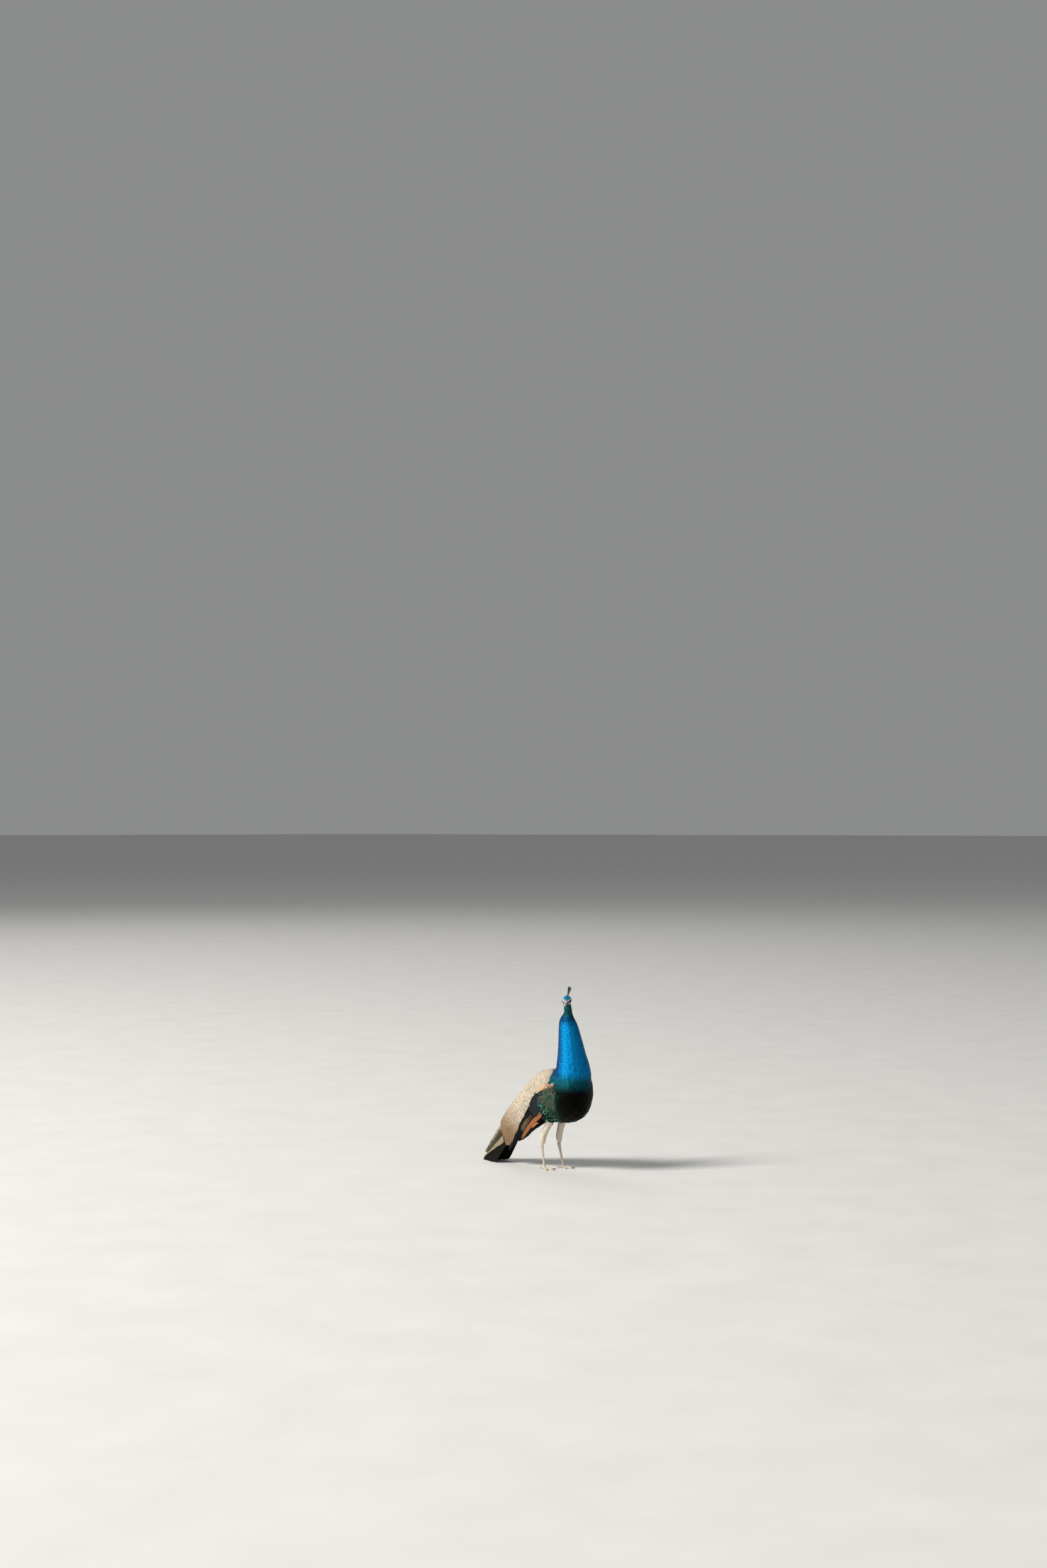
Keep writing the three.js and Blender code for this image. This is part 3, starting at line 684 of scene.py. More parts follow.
def make_skin():
    co, tris = remeshed("skin", *joined(SKIN_NODES + EYE_NODES), SKIN_VOXEL)
    co = relaxed(co, tris, SKIN_TURNS)
    for height in FACE_CUTS:
        co, tris = halved(co, tris, co[tris].mean(axis=1)[:, 2] > height)
        share = step(height - 0.01, height, co[:, 2])[:, None]
        co = co + (relaxed(co, tris, FACE_TURNS) - co) * share
    group = nearest_group(co)
    co = co - Surface(co, tris).normals * coat_depth(co, group)[:, None]
    co = relaxed(co, tris, COAT_TURNS)
    slim = narrowed(co, THIGH_PULL, HOCK_HEIGHTS[0] - 0.004)
    co = shaped_face(np.where(belongs(group, "thigh")[:, None], slim, co))
    skin = Surface(co, tris)
    skin.group, skin.face_group = group, group[tris[:, 0]]
    return skin


# ---- markings -----------------------------------------------------------------------------

NAVY = (0.002, 0.016, 0.075)
COBALT = (0.001, 0.085, 0.29)
AZURE = (0.001, 0.21, 0.50)
SKY = (0.004, 0.33, 0.72)
TEAL = (0.003, 0.082, 0.112)
SEA_GREEN = (0.010, 0.110, 0.075)
BELLY = (0.0020, 0.0024, 0.0016)
BRONZE = (0.055, 0.075, 0.030)
CREAM = (0.74, 0.64, 0.50)
TAN = (0.30, 0.195, 0.108)
BAR = (0.020, 0.014, 0.010)
TAN_BAR = (0.070, 0.042, 0.024)
PEACH = (0.74, 0.44, 0.26)
PINK_BROWN = (0.31, 0.225, 0.18)
BUFF = (0.80, 0.69, 0.56)
RUST = (0.40, 0.155, 0.060)
BLUE_BLACK = (0.004, 0.005, 0.009)
TAIL_BROWN = (0.006, 0.005, 0.004)
BARE_WHITE = (0.66, 0.70, 0.72)
LORE = (0.008, 0.010, 0.014)
CERE = (0.42, 0.36, 0.45)
CROWN_GREEN = (0.010, 0.24, 0.17)
TRAIN_BASE = (0.42, 0.38, 0.29)
HEAD_REACH = 0.046  # from the head's middle to the end of its own markings

# Bare white and dark stripes of the face in side view of the head: (forward, up, half width).
FACE_WHITE = (
    [(0.031, -0.0035, 0.0018), (0.021, 0.0052, 0.0028), (0.010, 0.0102, 0.0029), (-0.001, 0.0088, 0.0021),
     (-0.008, 0.0055, 0.0009)],
    [(0.030, -0.0135, 0.0016), (0.019, -0.0110, 0.0028), (0.008, -0.0105, 0.0044), (-0.004, -0.0090, 0.0046),
     (-0.013, -0.0060, 0.0026)],
)
FACE_DARK = (
    [(0.034, -0.0075, 0.0016), (0.021, -0.0028, 0.0026), (0.012, 0.0000, 0.0052), (0.003, 0.0006, 0.0042),
     (-0.006, 0.0004, 0.0032), (-0.016, -0.0010, 0.0010)],
    [(0.028, -0.0195, 0.0024), (0.018, -0.0200, 0.0022), (0.008, -0.0192, 0.0014)],
)


def stripes(h, lines):
    """1 on the stripes of the face and 0 off them, for points in the head's frame."""
    mask = np.zeros(len(h))
    for line in lines:
        for (x0, z0, w0), (x1, z1, w1) in zip(line[:-1], line[1:]):
            start, run = np.array([x0, z0]), np.array([x1 - x0, z1 - z0])
            share = np.clip(((h[:, [0, 2]] - start) @ run) / (run @ run), 0, 1)
            away = np.linalg.norm(h[:, [0, 2]] - start - share[:, None] * run, axis=1)
            width = w0 + (w1 - w0) * share
            mask = np.maximum(mask, step(width + 0.0007, width - 0.0005, away))
    return mask * step(0.0022, 0.0045, np.abs(h[:, 1]))


def face_marks(h):
    """Shares of white and of dark skin on the face."""
    near = step(HEAD_REACH, HEAD_REACH - 0.006, np.linalg.norm(h, axis=1))
    dark = stripes(h, FACE_DARK) * near
    return stripes(h, FACE_WHITE) * near * (1 - dark), dark


def cere_half(h):
    """Half the width of the bare patch over the bill, which widens forward."""
    return np.interp(h[:, 0], [0.022, 0.031], [0.0030, 0.0060])


def segment_distance(p, start, end):
    """Distance in side view from points of the bird to a segment, and the share of the way along it."""
    start, run = np.array(start), np.array(end) - np.array(start)
    flat = p[:, [0, 2]] - start
    share = np.clip(flat @ run / (run @ run), 0, 1)
    return np.linalg.norm(flat - share[:, None] * run, axis=1), share


def wing_end(p):
    """0 on the upper wing and 1 at the wing's lower end, where cream turns to tan."""
    return step(0.18, 0.36, 0.65 * (0.45 - p[:, 2]) - 0.75 * p[:, 0])


def wing_colour(p):
    return blend(wing_end(p), same(CREAM, len(p)), TAN)


def markings(points, group):
    """The colour of skin and plumage at points of the row frame."""
    p = bird(points)
    forward, left, up = p.T
    neck_axis = np.interp(up, [0.42, 0.51, 0.61, 0.71, 0.78], [0.118, 0.12, 0.11, 0.092, 0.094])
    front = (forward - neck_axis) / 0.06
    colour = blend(step(-0.9, 0.3, front), same(COBALT, len(p)), AZURE)
    colour = blend(0.55 * step(0.3, 1.1, -front), colour, NAVY)
    colour = blend(0.65 * step(0.715, 0.755, up), colour, NAVY)
    throat = step(0.745, 0.775, up) * step(-0.6, 0.3, front)
    colour = blend(0.75 * throat, colour, SEA_GREEN)
    colour = blend(step(0.505, 0.450, up), colour, TEAL)
    colour = blend(step(0.458, 0.398, up), colour, BELLY)
    flank = step(0.445, 0.37, up) * step(0.225, 0.27, up) * step(0.045, 0.075, np.abs(left))
    flank = flank * step(0.15, 0.06, forward)
    colour = blend(0.5 * flank, colour, SEA_GREEN)
    back = step(0.045, 0.0, forward) * step(0.40, 0.43, up + 0.5 * np.maximum(0, -forward))
    colour = blend(belongs(group, "trunk") * back, colour, BRONZE)
    gap, share = segment_distance(p, (0.080, 0.436), (0.004, 0.386))
    wing_bend = 0.85 * step(0.011, 0.006, gap) * step(0.05, 0.07, np.abs(left))
    wing = blend(wing_bend * step(0.1, 0.5, share), wing_colour(p), PEACH)
    colour = np.where(belongs(group, "wing")[:, None], wing, colour)
    colour = blend(np.where(belongs(group, "trunk"), wing_bend, 0), colour, PEACH)
    for name, own in (("train", TRAIN_BASE), ("vent", TAIL_BROWN), ("thigh", BUFF)):
        colour[belongs(group, name)] = own
    h = head_place(points)
    head = step(HEAD_REACH, HEAD_REACH - 0.008, np.linalg.norm(h, axis=1))
    crown = head * step(0.002, 0.010, h[:, 2]) * step(-0.020, -0.006, h[:, 0])
    colour = blend(crown, colour, SKY)
    colour = blend(0.75 * crown * step(0.011, 0.019, h[:, 0]), colour, CROWN_GREEN)
    # painted shade: a navy line darkens the crown's sunk middle, widening forward
    half = np.interp(h[:, 0], [-0.010, 0.020], [0.0008, 0.0028])
    groove_shade = crown * step(0.0018, 0, np.abs(h[:, 1]) - half)
    colour = blend(0.9 * groove_shade, colour, NAVY)
    white, dark = face_marks(h)
    colour = blend(dark, colour, LORE)
    colour = blend(white, colour, BARE_WHITE)
    cere = step(0.0225, 0.0265, h[:, 0]) * step(0.001, -0.001, np.abs(h[:, 1]) - cere_half(h))
    cere = cere * step(-0.012, -0.008, h[:, 2])
    return blend(cere * head * (1 - dark), colour, CERE)


# ---- laying feathers ----------------------------------------------------------------------

# Places along a small feather, and its half width there as a share of its widest.
TUFT = ((0, 0.45), (0.3, 0.85), (0.58, 1.0), (0.80, 0.90), (0.93, 0.60), (1.0, 0.16))
COVERT = ((0, 0.45), (0.2, 0.75), (0.4, 0.95), (0.6, 1.0), (0.76, 0.95), (0.88, 0.78), (0.96, 0.50),
          (1.0, 0.15))
SAME_SIDE = 0.6  # the least cosine between two normals that still belong to one side of the skin
# A step, or half a vane, has left the skin when it ends further away than this share of its length and
# this much more.
STEP_OFF, VANE_OFF = (0.4, 0.0015), (0.35, 0.002)
TRIES = 5  # random places drawn for each feather that would fit


def scattered(skin, wanted, spacing):
    """Random roots on the wanted faces, no two closer than the spacing, which may vary with place."""
    gap = spacing(skin.middle) if callable(spacing) else np.full(len(skin.middle), spacing)
    weight = np.where(wanted, skin.area / gap**2, 0)
    tries = int(weight.sum() * TRIES)
    face = RNG.choice(len(weight), tries, p=weight / weight.sum())
    a, b = RNG.random((2, tries, 1))
    over = a + b > 1
    a, b = np.where(over, 1 - a, a), np.where(over, 1 - b, b)
    corner = skin.co[skin.tris[face]]
    point = corner[:, 0] + a * (corner[:, 1] - corner[:, 0]) + b * (corner[:, 2] - corner[:, 0])
    gap = gap[face]
    tree = KDTree(tries)
    for i, p in enumerate(point.tolist()):
        tree.insert(p, i)
    tree.balance()
    free = np.ones(tries, bool)
    kept = []
    for i in range(tries):
        if free[i]:
            kept.append(i)
            for _, j, _ in tree.find_range(point[i], gap[i]):
                free[j] = False
    return point[kept], face[kept]


def march(skin, root, way, length, along):
    """Steps along the skin from each root. Past an edge of the skin a path runs on straight.

    Returns the places, normals and directions, and the share of the way where each left the skin.
    """
    place, normal, _ = skin.nearest(root)
    first = normal
    way = laid_flat(way, normal)
    path = [(place, normal, way)]
    on_skin = np.ones(len(root), bool)
    left_at = np.ones(len(root))
    for before, after in zip(along[:-1], along[1:]):
        stride = (length * (after - before))[:, None]
        ahead = place + way * stride
        near, near_normal, _ = skin.nearest(ahead)
        still = np.linalg.norm(near - ahead, axis=1) < STEP_OFF[0] * stride[:, 0] + STEP_OFF[1]
        still &= (near_normal * first).sum(axis=1) > SAME_SIDE
        left_at = np.where(on_skin & ~still, before, left_at)
        on_skin &= still
        place = np.where(on_skin[:, None], near, ahead)
        normal = np.where(on_skin[:, None], near_normal, normal)
        way = laid_flat(way, normal)
        path.append((place, normal, way))
    places, normals, ways = (np.stack(part, axis=1) for part in zip(*path))
    return places, normals, ways, left_at


# The quarter of the bake's map that each part of the coat is unrolled on.
BAKE_QUARTERS = {"head": 0, "neck": 0, "trunk": 0, "wing": 1, "train": 2, "vent": 3, "thigh": 3}
PATCH_SIZE = 0.003
MAP_TOP = 0.95  # the height up the bird at the top of its quarter


def patches(root, group, u, v):
    """Each vane as a small patch at its root's place on an unrolling of the body."""
    p = bird(root)
    axis_forward = np.interp(p[:, 2], [0.2, 0.45, 0.8], [0.0, 0.1, 0.095])
    turn = np.arctan2(p[:, 1], p[:, 0] - axis_forward) / (2 * math.pi) + 0.5
    rise = p[:, 2] / MAP_TOP + 0.04 * np.cos(turn * 2 * math.pi)
    quarter = np.array([BAKE_QUARTERS[name] for name in GROUP_NAMES])[group]
    place_u = (quarter % 2 + 0.02 + 0.95 * turn) / 2
    place_v = (quarter // 2 + 0.02 + 0.95 * np.clip(rise, 0, 1)) / 2
    u = place_u[:, None] + (u - 0.5) * PATCH_SIZE
    v = place_v[:, None] + (v - 0.5) * PATCH_SIZE
    return np.stack([u, v], axis=-1).reshape(-1, 2)


MOST_TRIANGLES = 190_000  # of one piece of plumage


def make_coat(name, co, root, group, material, *, along, across, colours, ink, bars=None):
    """Pieces of plumage from vanes, each a grid of points (vane, along, across, axis)."""
    count, rows, columns = co.shape[:3]
    each = rows * columns
    quad = quads(rows, columns)
    u = same(np.tile((across + 1) / 2, rows), count)
    v = same(np.repeat(along, columns), count)
    floats = {"seed": RNG.random(count)}
    if bars is not None:
        floats["bars"] = bars
    most = MOST_TRIANGLES // (2 * len(quad))
    for part, start in enumerate(range(0, count, most)):
        some = slice(start, min(count, start + most))
        number = some.stop - start
        faces = (quad[None] + (np.arange(number) * each)[:, None, None]).reshape(-1, 4)
        make_piece(
            name if count <= most else f"{name}_{part + 1}", co[some].reshape(-1, 3), faces, material,
            colours=np.repeat(colours[some], each, axis=0), ink=np.repeat(ink[some], each, axis=0),
            floats={key: np.repeat(values[some], each) for key, values in floats.items()},
            maps={
                "vane": np.stack([u[some].ravel(), v[some].ravel()], axis=1),
                "OFBake": patches(root[some], group[some], u[some], v[some]),
            },
        )


def inked(colour, share, count):
    """The same second colour for every vane, and how far it shows."""
    return same((*colour, share), count)


def varied(colours, spread):
    """Each colour a little lighter or darker than it was."""
    return colours * RNG.normal(1, spread, (len(colours), 1)).clip(0.4, 1.8)


def lay_vanes(name, skin, root, face, material, slot, *, length, width, lift, shape=TUFT, columns=3,
              rounding=0.10, camber=0.12, turn=0.16, keep_in=0.006, start=0.25, colours=None, ink=None,
              bars=None, spread=0.12):
    """A coat of overlapping vanes, rooted in the skin and lying along it.

    Length, width and lift are one number or one for each vane. A vane that would run past an edge
    of the skin ends keep_in beyond it. Its root is at the start share of its lift.
    """
    count = len(root)
    group = skin.face_group[face]
    along, half = np.array(shape).T
    way = lie(root, group)
    side = unit(np.cross(skin.nearest(root)[1], way))
    way = unit(way + side * RNG.normal(0, turn, (count, 1)))
    length, width, lift = (np.broadcast_to(value, count) for value in (length, width, lift))
    length = length * RNG.normal(1, 0.08, count)
    left_at = march(skin, root, way, length, along)[3]
    length = np.maximum(np.minimum(length, left_at * length + keep_in), length * 0.3)
    places, normals, ways, _ = march(skin, root, way, length, along)
    across = np.linspace(-1, 1, columns)
    offset = across * half[:, None] * (width / 2)[:, None, None]
    sides = unit(np.cross(normals, ways))
    back = rounding * across**2 * along[:, None] ** 2 * length[:, None, None]
    drawn = places[:, :, None] + sides[:, :, None] * offset[..., None] - ways[:, :, None] * back[..., None]
    near, near_normal, _ = skin.nearest(drawn)
    gone = np.linalg.norm(near - drawn, axis=-1) > np.abs(offset) * VANE_OFF[0] + VANE_OFF[1]
    gone |= (near_normal * normals[:, :, None]).sum(axis=-1) < SAME_SIDE
    settled = np.where(gone[..., None], drawn, near)
    out = np.where(gone[..., None], normals[:, :, None], near_normal)
    height = lift[:, None, None] * (start + (1 - start) * along**1.1)[:, None]
    height = height + width[:, None, None] * camber * (1 - across**2) * along[:, None]
    height = height * (1 + RNG.normal(0, 0.10, (count, 1, 1)))
    if colours is None:
        colours = varied(markings(root, group), spread)
    if ink is None:
        ink = inked((0, 0, 0), 0, count)
    make_coat(name, settled + out * height[..., None], root, group, material, along=along,
              across=across, colours=colours, ink=ink, bars=bars)


WIDEST = CAD_BOX[1][0] - 0.004  # loose feathers that reach further aside are drawn in
PRESSED = 0.62  # the share of what stands out further that is taken off
WISP_HOLLOW = 0.16


def pressed(across):
    """Draws in what stands out past the body's widest part."""
    past = np.maximum(np.abs(across) - WIDEST, 0)
    return across - np.sign(across) * PRESSED * past


def lay_wisps(name, skin, root, face, material, slot, *, length, width, rise, bend, sway, lift, colours, ink):
    """Loose feathers that stand off the skin in arcs. Angles are in radians, one for each feather."""
    count = len(root)
    along, half = np.array(COVERT).T
    place, normal, _ = skin.nearest(root)
    group = skin.face_group[face]
    way = laid_flat(lie(root, group), normal)
    side = np.cross(normal, way)
    up = (rise[:, None] + bend[:, None] * along)[..., None]
    aside = (sway[:, None] * (along - 0.3))[..., None]
    level = np.cos(aside) * way[:, None] + np.sin(aside) * side[:, None]
    heading = np.cos(up) * level + np.sin(up) * normal[:, None]
    strides = np.diff(along, prepend=0)[:, None] * length[:, None, None]
    centre = (place + normal * np.reshape(lift, (-1, 1)))[:, None] + np.cumsum(heading * strides, axis=1)
    twist = RNG.normal(0, 0.5, (count, 1, 1))
    flat = unit(np.cross(normal[:, None], heading))
    flat = unit(flat * np.cos(twist) + np.cross(heading, flat) * np.sin(twist))
    cup = np.cross(heading, flat)
    across = np.array([-1, -0.4, 0.4, 1])
    offset = (across * half[:, None] * (width / 2)[:, None, None])[..., None]
    hollow = (WISP_HOLLOW * across**2 * half[:, None] * (width / 2)[:, None, None])[..., None]
    co = centre[:, :, None] + flat[:, :, None] * offset - cup[:, :, None] * hollow
    co[..., 0] = pressed(co[..., 0])
    make_coat(name, co, root, group, material, along=along, across=across, colours=colours, ink=ink)


def is_group(skin, *names):
    return np.isin(skin.face_group, [GROUP_NAMES.index(name) for name in names])


# ---- body plumage -------------------------------------------------------------------------

# Heights up the bird, and how far apart its feathers stand there.
BODY_GAPS = [0.25, 0.42, 0.52, 0.69, 0.76, 0.79], [0.0064, 0.0054, 0.0042, 0.0030, 0.0021, 0.0017]
HEAD_GAPS = [0.785, 0.804], [0.0018, 0.00135]
FLECK_SHADE = 0.2  # of the dark flecks on the neck


def by_height(heights, gaps):
    return lambda points: np.interp(bird(points)[:, 2], heights, gaps)


def make_body_plumage(skin):
    finish = plumage_finish("body_plumage", 0.45, 0.65)
    spacing = by_height(*BODY_GAPS)
    root, face = scattered(skin, is_group(skin, "neck", "trunk"), spacing)
    gap = spacing(root)
    group = skin.face_group[face]
    forward, left, up = bird(root).T
    lift = coat_depth(root, group) * RNG.uniform(0.6, 0.85, len(root))
    colours = varied(markings(root, group), 0.12)
    flecked = 0.4 * step(0.60, 0.72, up) * step(-0.030, -0.055, forward - 0.11 - 0.4 * left)
    flecked = flecked + 0.35 * step(0.70, 0.76, up)
    colours = np.where((RNG.random(len(root)) < flecked)[:, None], colours * FLECK_SHADE, colours)
    wing = Surface(*joined(GROUPS["wing"])).distance(root)
    length = np.minimum(gap * 4.2, gap * 1.6 + wing)
    lay_vanes("body_feathers", skin, root, face, finish, "plumage_blue", length=length, width=gap * 2.0,
              lift=lift, colours=colours, start=0.4, camber=0.05, turn=0.22)


def make_head_plumage(skin):
    finish = plumage_finish("head_plumage", 0.42, 0.5)
    h = head_place(skin.middle)
    bare = face_marks(h)[0] > 0.4
    bare |= (h[:, 0] > BILL_BASE - 0.006) & (np.abs(h[:, 1]) < cere_half(h))
    for sign in SIDES.values():
        _, far, ring = eye_place(h, sign)
        bare |= (far > 0) & (ring < 1.45)
    root, face = scattered(skin, is_group(skin, "head") & ~bare, by_height(*HEAD_GAPS))
    h = head_place(root)
    crown = step(0.004, 0.012, h[:, 2])
    length = 0.0045 + 0.0012 * crown - 0.0018 * step(0.018, 0.028, h[:, 0])
    lay_vanes("head_feathers", skin, root, face, finish, "plumage_blue", length=length, width=length * 0.55,
              lift=0.0007 + 0.0006 * crown, start=0.2, keep_in=0.001, turn=0.25, spread=0.16)


# The flank's loose feathers, thin curls above and broad crescents below: how far apart they stand, the
# share of brown ones above and how much it changes below, and the colour of the others' edges.
FLANK_COATS = {
    "flank_feathers": dict(gap=0.0025, brown=(0.50, -0.35), green=(0.055, 0.235, 0.150)),
    "flank_crescents": dict(gap=0.0100, brown=(0.04, 0.0), green=(0.075, 0.330, 0.210)),
}
FLANK_BASE = (0.008, 0.022, 0.018)


def make_flank_plumage(skin):
    """Loose, curly feathers that hang over the edge of each folded wing, and broad ones below them."""
    forward, left, up = bird(skin.middle).T
    zone = step(0.426, 0.396, up - 0.25 * (forward - 0.02)) * step(0.212, 0.236, up)
    zone = zone * step(0.115, 0.085, forward) * step(-0.075, -0.045, forward)
    zone = zone * step(0.040, 0.062, np.abs(left))
    wanted = is_group(skin, "trunk") & (zone > 0.4)
    # under sets how dark the painted shade is at the covered root of each vane
    finishes = {
        "flank_feathers": plumage_finish("curly_plumage", 0.6, 0.1, under=0.4, fringe=(0.30, 0.95)),
        "flank_crescents": plumage_finish("broad_plumage", 0.5, 0.1, under=0.3, fringe=(0.70, 0.90)),
    }
    for name, coat in FLANK_COATS.items():
        root, face = scattered(skin, wanted, coat["gap"])
        forward, _, up = bird(root).T
        low = step(0.360, 0.325, up + 0.50 * forward)
        wide = name == "flank_crescents"
        keep = RNG.random(len(root)) < (low if wide else 1 - 0.75 * low)
        root, face, low = root[keep], face[keep], low[keep]
        count = len(root)
        brown = RNG.random(count) < coat["brown"][0] + coat["brown"][1] * low
        edge = np.where(brown[:, None], np.array([PINK_BROWN]), np.array([coat["green"]]))
        ink = np.concatenate([varied(edge, 0.3), np.full((count, 1), 0.9)], axis=1)
        base = varied(same(FLANK_BASE, count), 0.3)
        if wide:
            arcs = dict(length=RNG.uniform(0.026, 0.036, count), width=RNG.uniform(0.022, 0.031, count),
                        rise=RNG.uniform(0.06, 0.24, count), bend=RNG.uniform(-0.5, -0.05, count),
                        sway=RNG.normal(0, 0.25, count))
        else:
            arcs = dict(length=RNG.uniform(0.012, 0.027, count), width=RNG.uniform(0.0008, 0.0019, count),
                        rise=RNG.uniform(0.03, 0.32, count),
                        bend=RNG.normal(-0.3, 0.7, count).clip(-1.4, 0.7), sway=RNG.normal(0, 1.5, count))
        lay_wisps(name, skin, root, face, finishes[name], "plumage_green",
                  lift=RNG.uniform(0.001, 0.004, count), colours=base, ink=ink, **arcs)


def outer(skin):
    """True on faces that look away from the bird's middle plane, or up."""
    way = unit(skin.cross)
    return way[:, 0] * np.sign(skin.middle[:, 0]) + 0.6 * way[:, 2] > 0.25


# The bare strip of back between the folded wings: (forward, half its width).
BACK_STRIP = [(-0.360, 0.009), (-0.160, 0.018), (-0.060, 0.026), (0.040, 0.034), (0.120, 0.040)]
EDGE_MARGIN = 0.006  # no wing feather is rooted nearer than this to the wing's inner edge
LOW_TIP = (-0.222, 0.122)  # behind and below this, only the long tips cover the wing
BAR_SPACING = 0.0078
TRAIN_LENGTH, TRAIN_BAR_SPACING = 0.030, 0.0062
WING_CORE = 0.085  # how far below its ridge the middle of the folded wings lies
WING_GIRTH = 0.100  # the radius that the feathers of a row are paced round
# Places back from the stance, and how far apart the wing's feathers stand there.
WING_GAPS = [-0.10, 0.03, 0.18, 0.30], [0.0072, 0.0086, 0.0100, 0.0110]
WING_TURNS = (-0.2, 2.7)  # from the ridge round to the lower edge, in radians
ROW_PACE = 0.62  # between rows, as a share of the gap between feathers
COVERT_COAT = dict(shape=COVERT, columns=5, turn=0.05, camber=0.02, start=0.1, rounding=0.05)


def wing_gap(forward):
    return np.interp(-forward, *WING_GAPS)


def wing_rows(skin, sign):
    """Roots in staggered rows round one folded wing, and the face of the skin under each."""
    line = np.array(WING_LINE)[:, [0, 2]]
    at = np.concatenate([[0], np.cumsum(np.linalg.norm(np.diff(line, axis=0), axis=1))])

    def ridge_at(place):
        return np.array([np.interp(place, at, line[:, axis]) for axis in (0, 1)])

    roots, faces = [], []
    along, odd = 0.0, 0
    while along < at[-1]:
        ridge = ridge_at(along)
        ahead = unit(ridge_at(along + 0.02) - ridge_at(along - 0.02))
        square = np.array([-ahead[1], ahead[0]]) * np.sign(ahead[0])
        gap = wing_gap(ridge[0])
        pace = gap / WING_GIRTH
        for turn in np.arange(WING_TURNS[0] + 0.5 * odd * pace, WING_TURNS[1], pace):
            turn = turn + RNG.normal(0, 0.06) * pace
            core = ridge - square * WING_CORE + ahead * RNG.normal(0, 0.05) * gap
            way = np.array([math.cos(turn) * square[0], math.sin(turn) * sign, math.cos(turn) * square[1]])
            start = np.array([core[0], 0, core[1]]) + way * 0.3
            hit = skin.tree.ray_cast(Vector(row(start)), Vector(-row_way(way)))
            if hit[0] is not None and np.array(hit[1]) @ row_way(way) > 0.55:
                roots.append(np.array(hit[0]))
                faces.append(hit[2])
        along += gap * ROW_PACE
        odd = 1 - odd
    return np.array(roots), np.array(faces)


def make_wing_plumage(skin, finish):
    signs = list(SIDES.values())
    rows = [wing_rows(skin, sign) for sign in signs]
    root, face = (np.concatenate(part) for part in zip(*rows))
    own_side = np.repeat(signs, [len(faces) for _, faces in rows])
    p = bird(root)
    keep = (is_group(skin, "wing") & outer(skin))[face] & (np.sign(p[:, 1]) == own_side)
    keep &= np.abs(p[:, 1]) > np.interp(p[:, 0], *np.array(BACK_STRIP).T) + EDGE_MARGIN
    tuck = np.where(p[:, 1] > 0, WING_TUCK["left"], WING_TUCK["right"])
    keep &= (p[:, 0] > LOW_TIP[0]) | (p[:, 2] > LOW_TIP[1] + tuck)
    root, face, p = root[keep], face[keep], p[keep]
    gap = wing_gap(p[:, 0])
    count = len(root)
    end = wing_end(p)
    length = gap * (3.2 + 1.2 * end)
    colours = markings(root, skin.face_group[face])
    plain = ((colours[:, 2] / colours[:, 0]) < 0.5) & (p[:, 0] > -0.02)
    ink = inked(BAR, 1.0, count)
    ink[:, :3] = blend(end, ink[:, :3], TAN_BAR)
    ink[:, 3] = np.where(plain, 0.30, RNG.uniform(0.75, 1.0, count))
    lay_vanes("wing_feathers", skin, root, face, finish, "plumage_barred", length=length, width=gap * 1.9,
              lift=RNG.uniform(0.0010, 0.0014, count), colours=varied(colours, 0.06), ink=ink,
              bars=length / (BAR_SPACING * (1 - 0.4 * end)), **COVERT_COAT)


def make_train_plumage(skin, finish):
    root, face = scattered(skin, is_group(skin, "train"), 0.0075)
    count = len(root)
    lay_vanes("train_feathers", skin, root, face, finish, "plumage_barred", length=TRAIN_LENGTH,
              width=0.0135, lift=0.0014, ink=inked(BAR, 1.0, count),
              bars=np.full(count, TRAIN_LENGTH / TRAIN_BAR_SPACING), **COVERT_COAT)


HOCK_TOP = 0.132  # of the tuft in front of each hock


def make_soft_plumage(skin):
    # under sets how dark the painted shade is at the covered root of each vane
    finish = plumage_finish("soft_plumage", 0.8, 0.0, under=0.88)
    for group, slot, gap in (("thigh", "plumage_buff", 0.0026), ("vent", "plumage_dark", 0.0070)):
        root, face = scattered(skin, is_group(skin, group), gap)
        lay_vanes(f"{group}_feathers", skin, root, face, finish, slot, length=gap * 4.0, width=gap * 1.4,
                  lift=COAT_DEPTH[group] * 0.7, start=0.3, spread=0.04, keep_in=0.009, camber=0.05)
    facing = unit(skin.cross) @ row_way(np.array([1.0, 0, 0]))
    knob = is_group(skin, "thigh") & (skin.middle[:, 2] < HOCK_TOP) & (facing > 0.35)
    root, face = scattered(skin, knob, 0.0020)
    count = len(root)
    lay_wisps("hock_feathers", skin, root, face, finish, "plumage_buff", lift=0.0006,
              length=RNG.uniform(0.006, 0.009, count), width=RNG.uniform(0.003, 0.0046, count),
              rise=RNG.uniform(0.25, 0.75, count), bend=RNG.uniform(-0.9, -0.2, count),
              sway=RNG.normal(0, 0.3, count), colours=varied(same(BUFF, count), 0.06),
              ink=inked(BUFF, 0.0, count))


# ---- quills -------------------------------------------------------------------------------

FLOOR_CLEARANCE = 0.0003


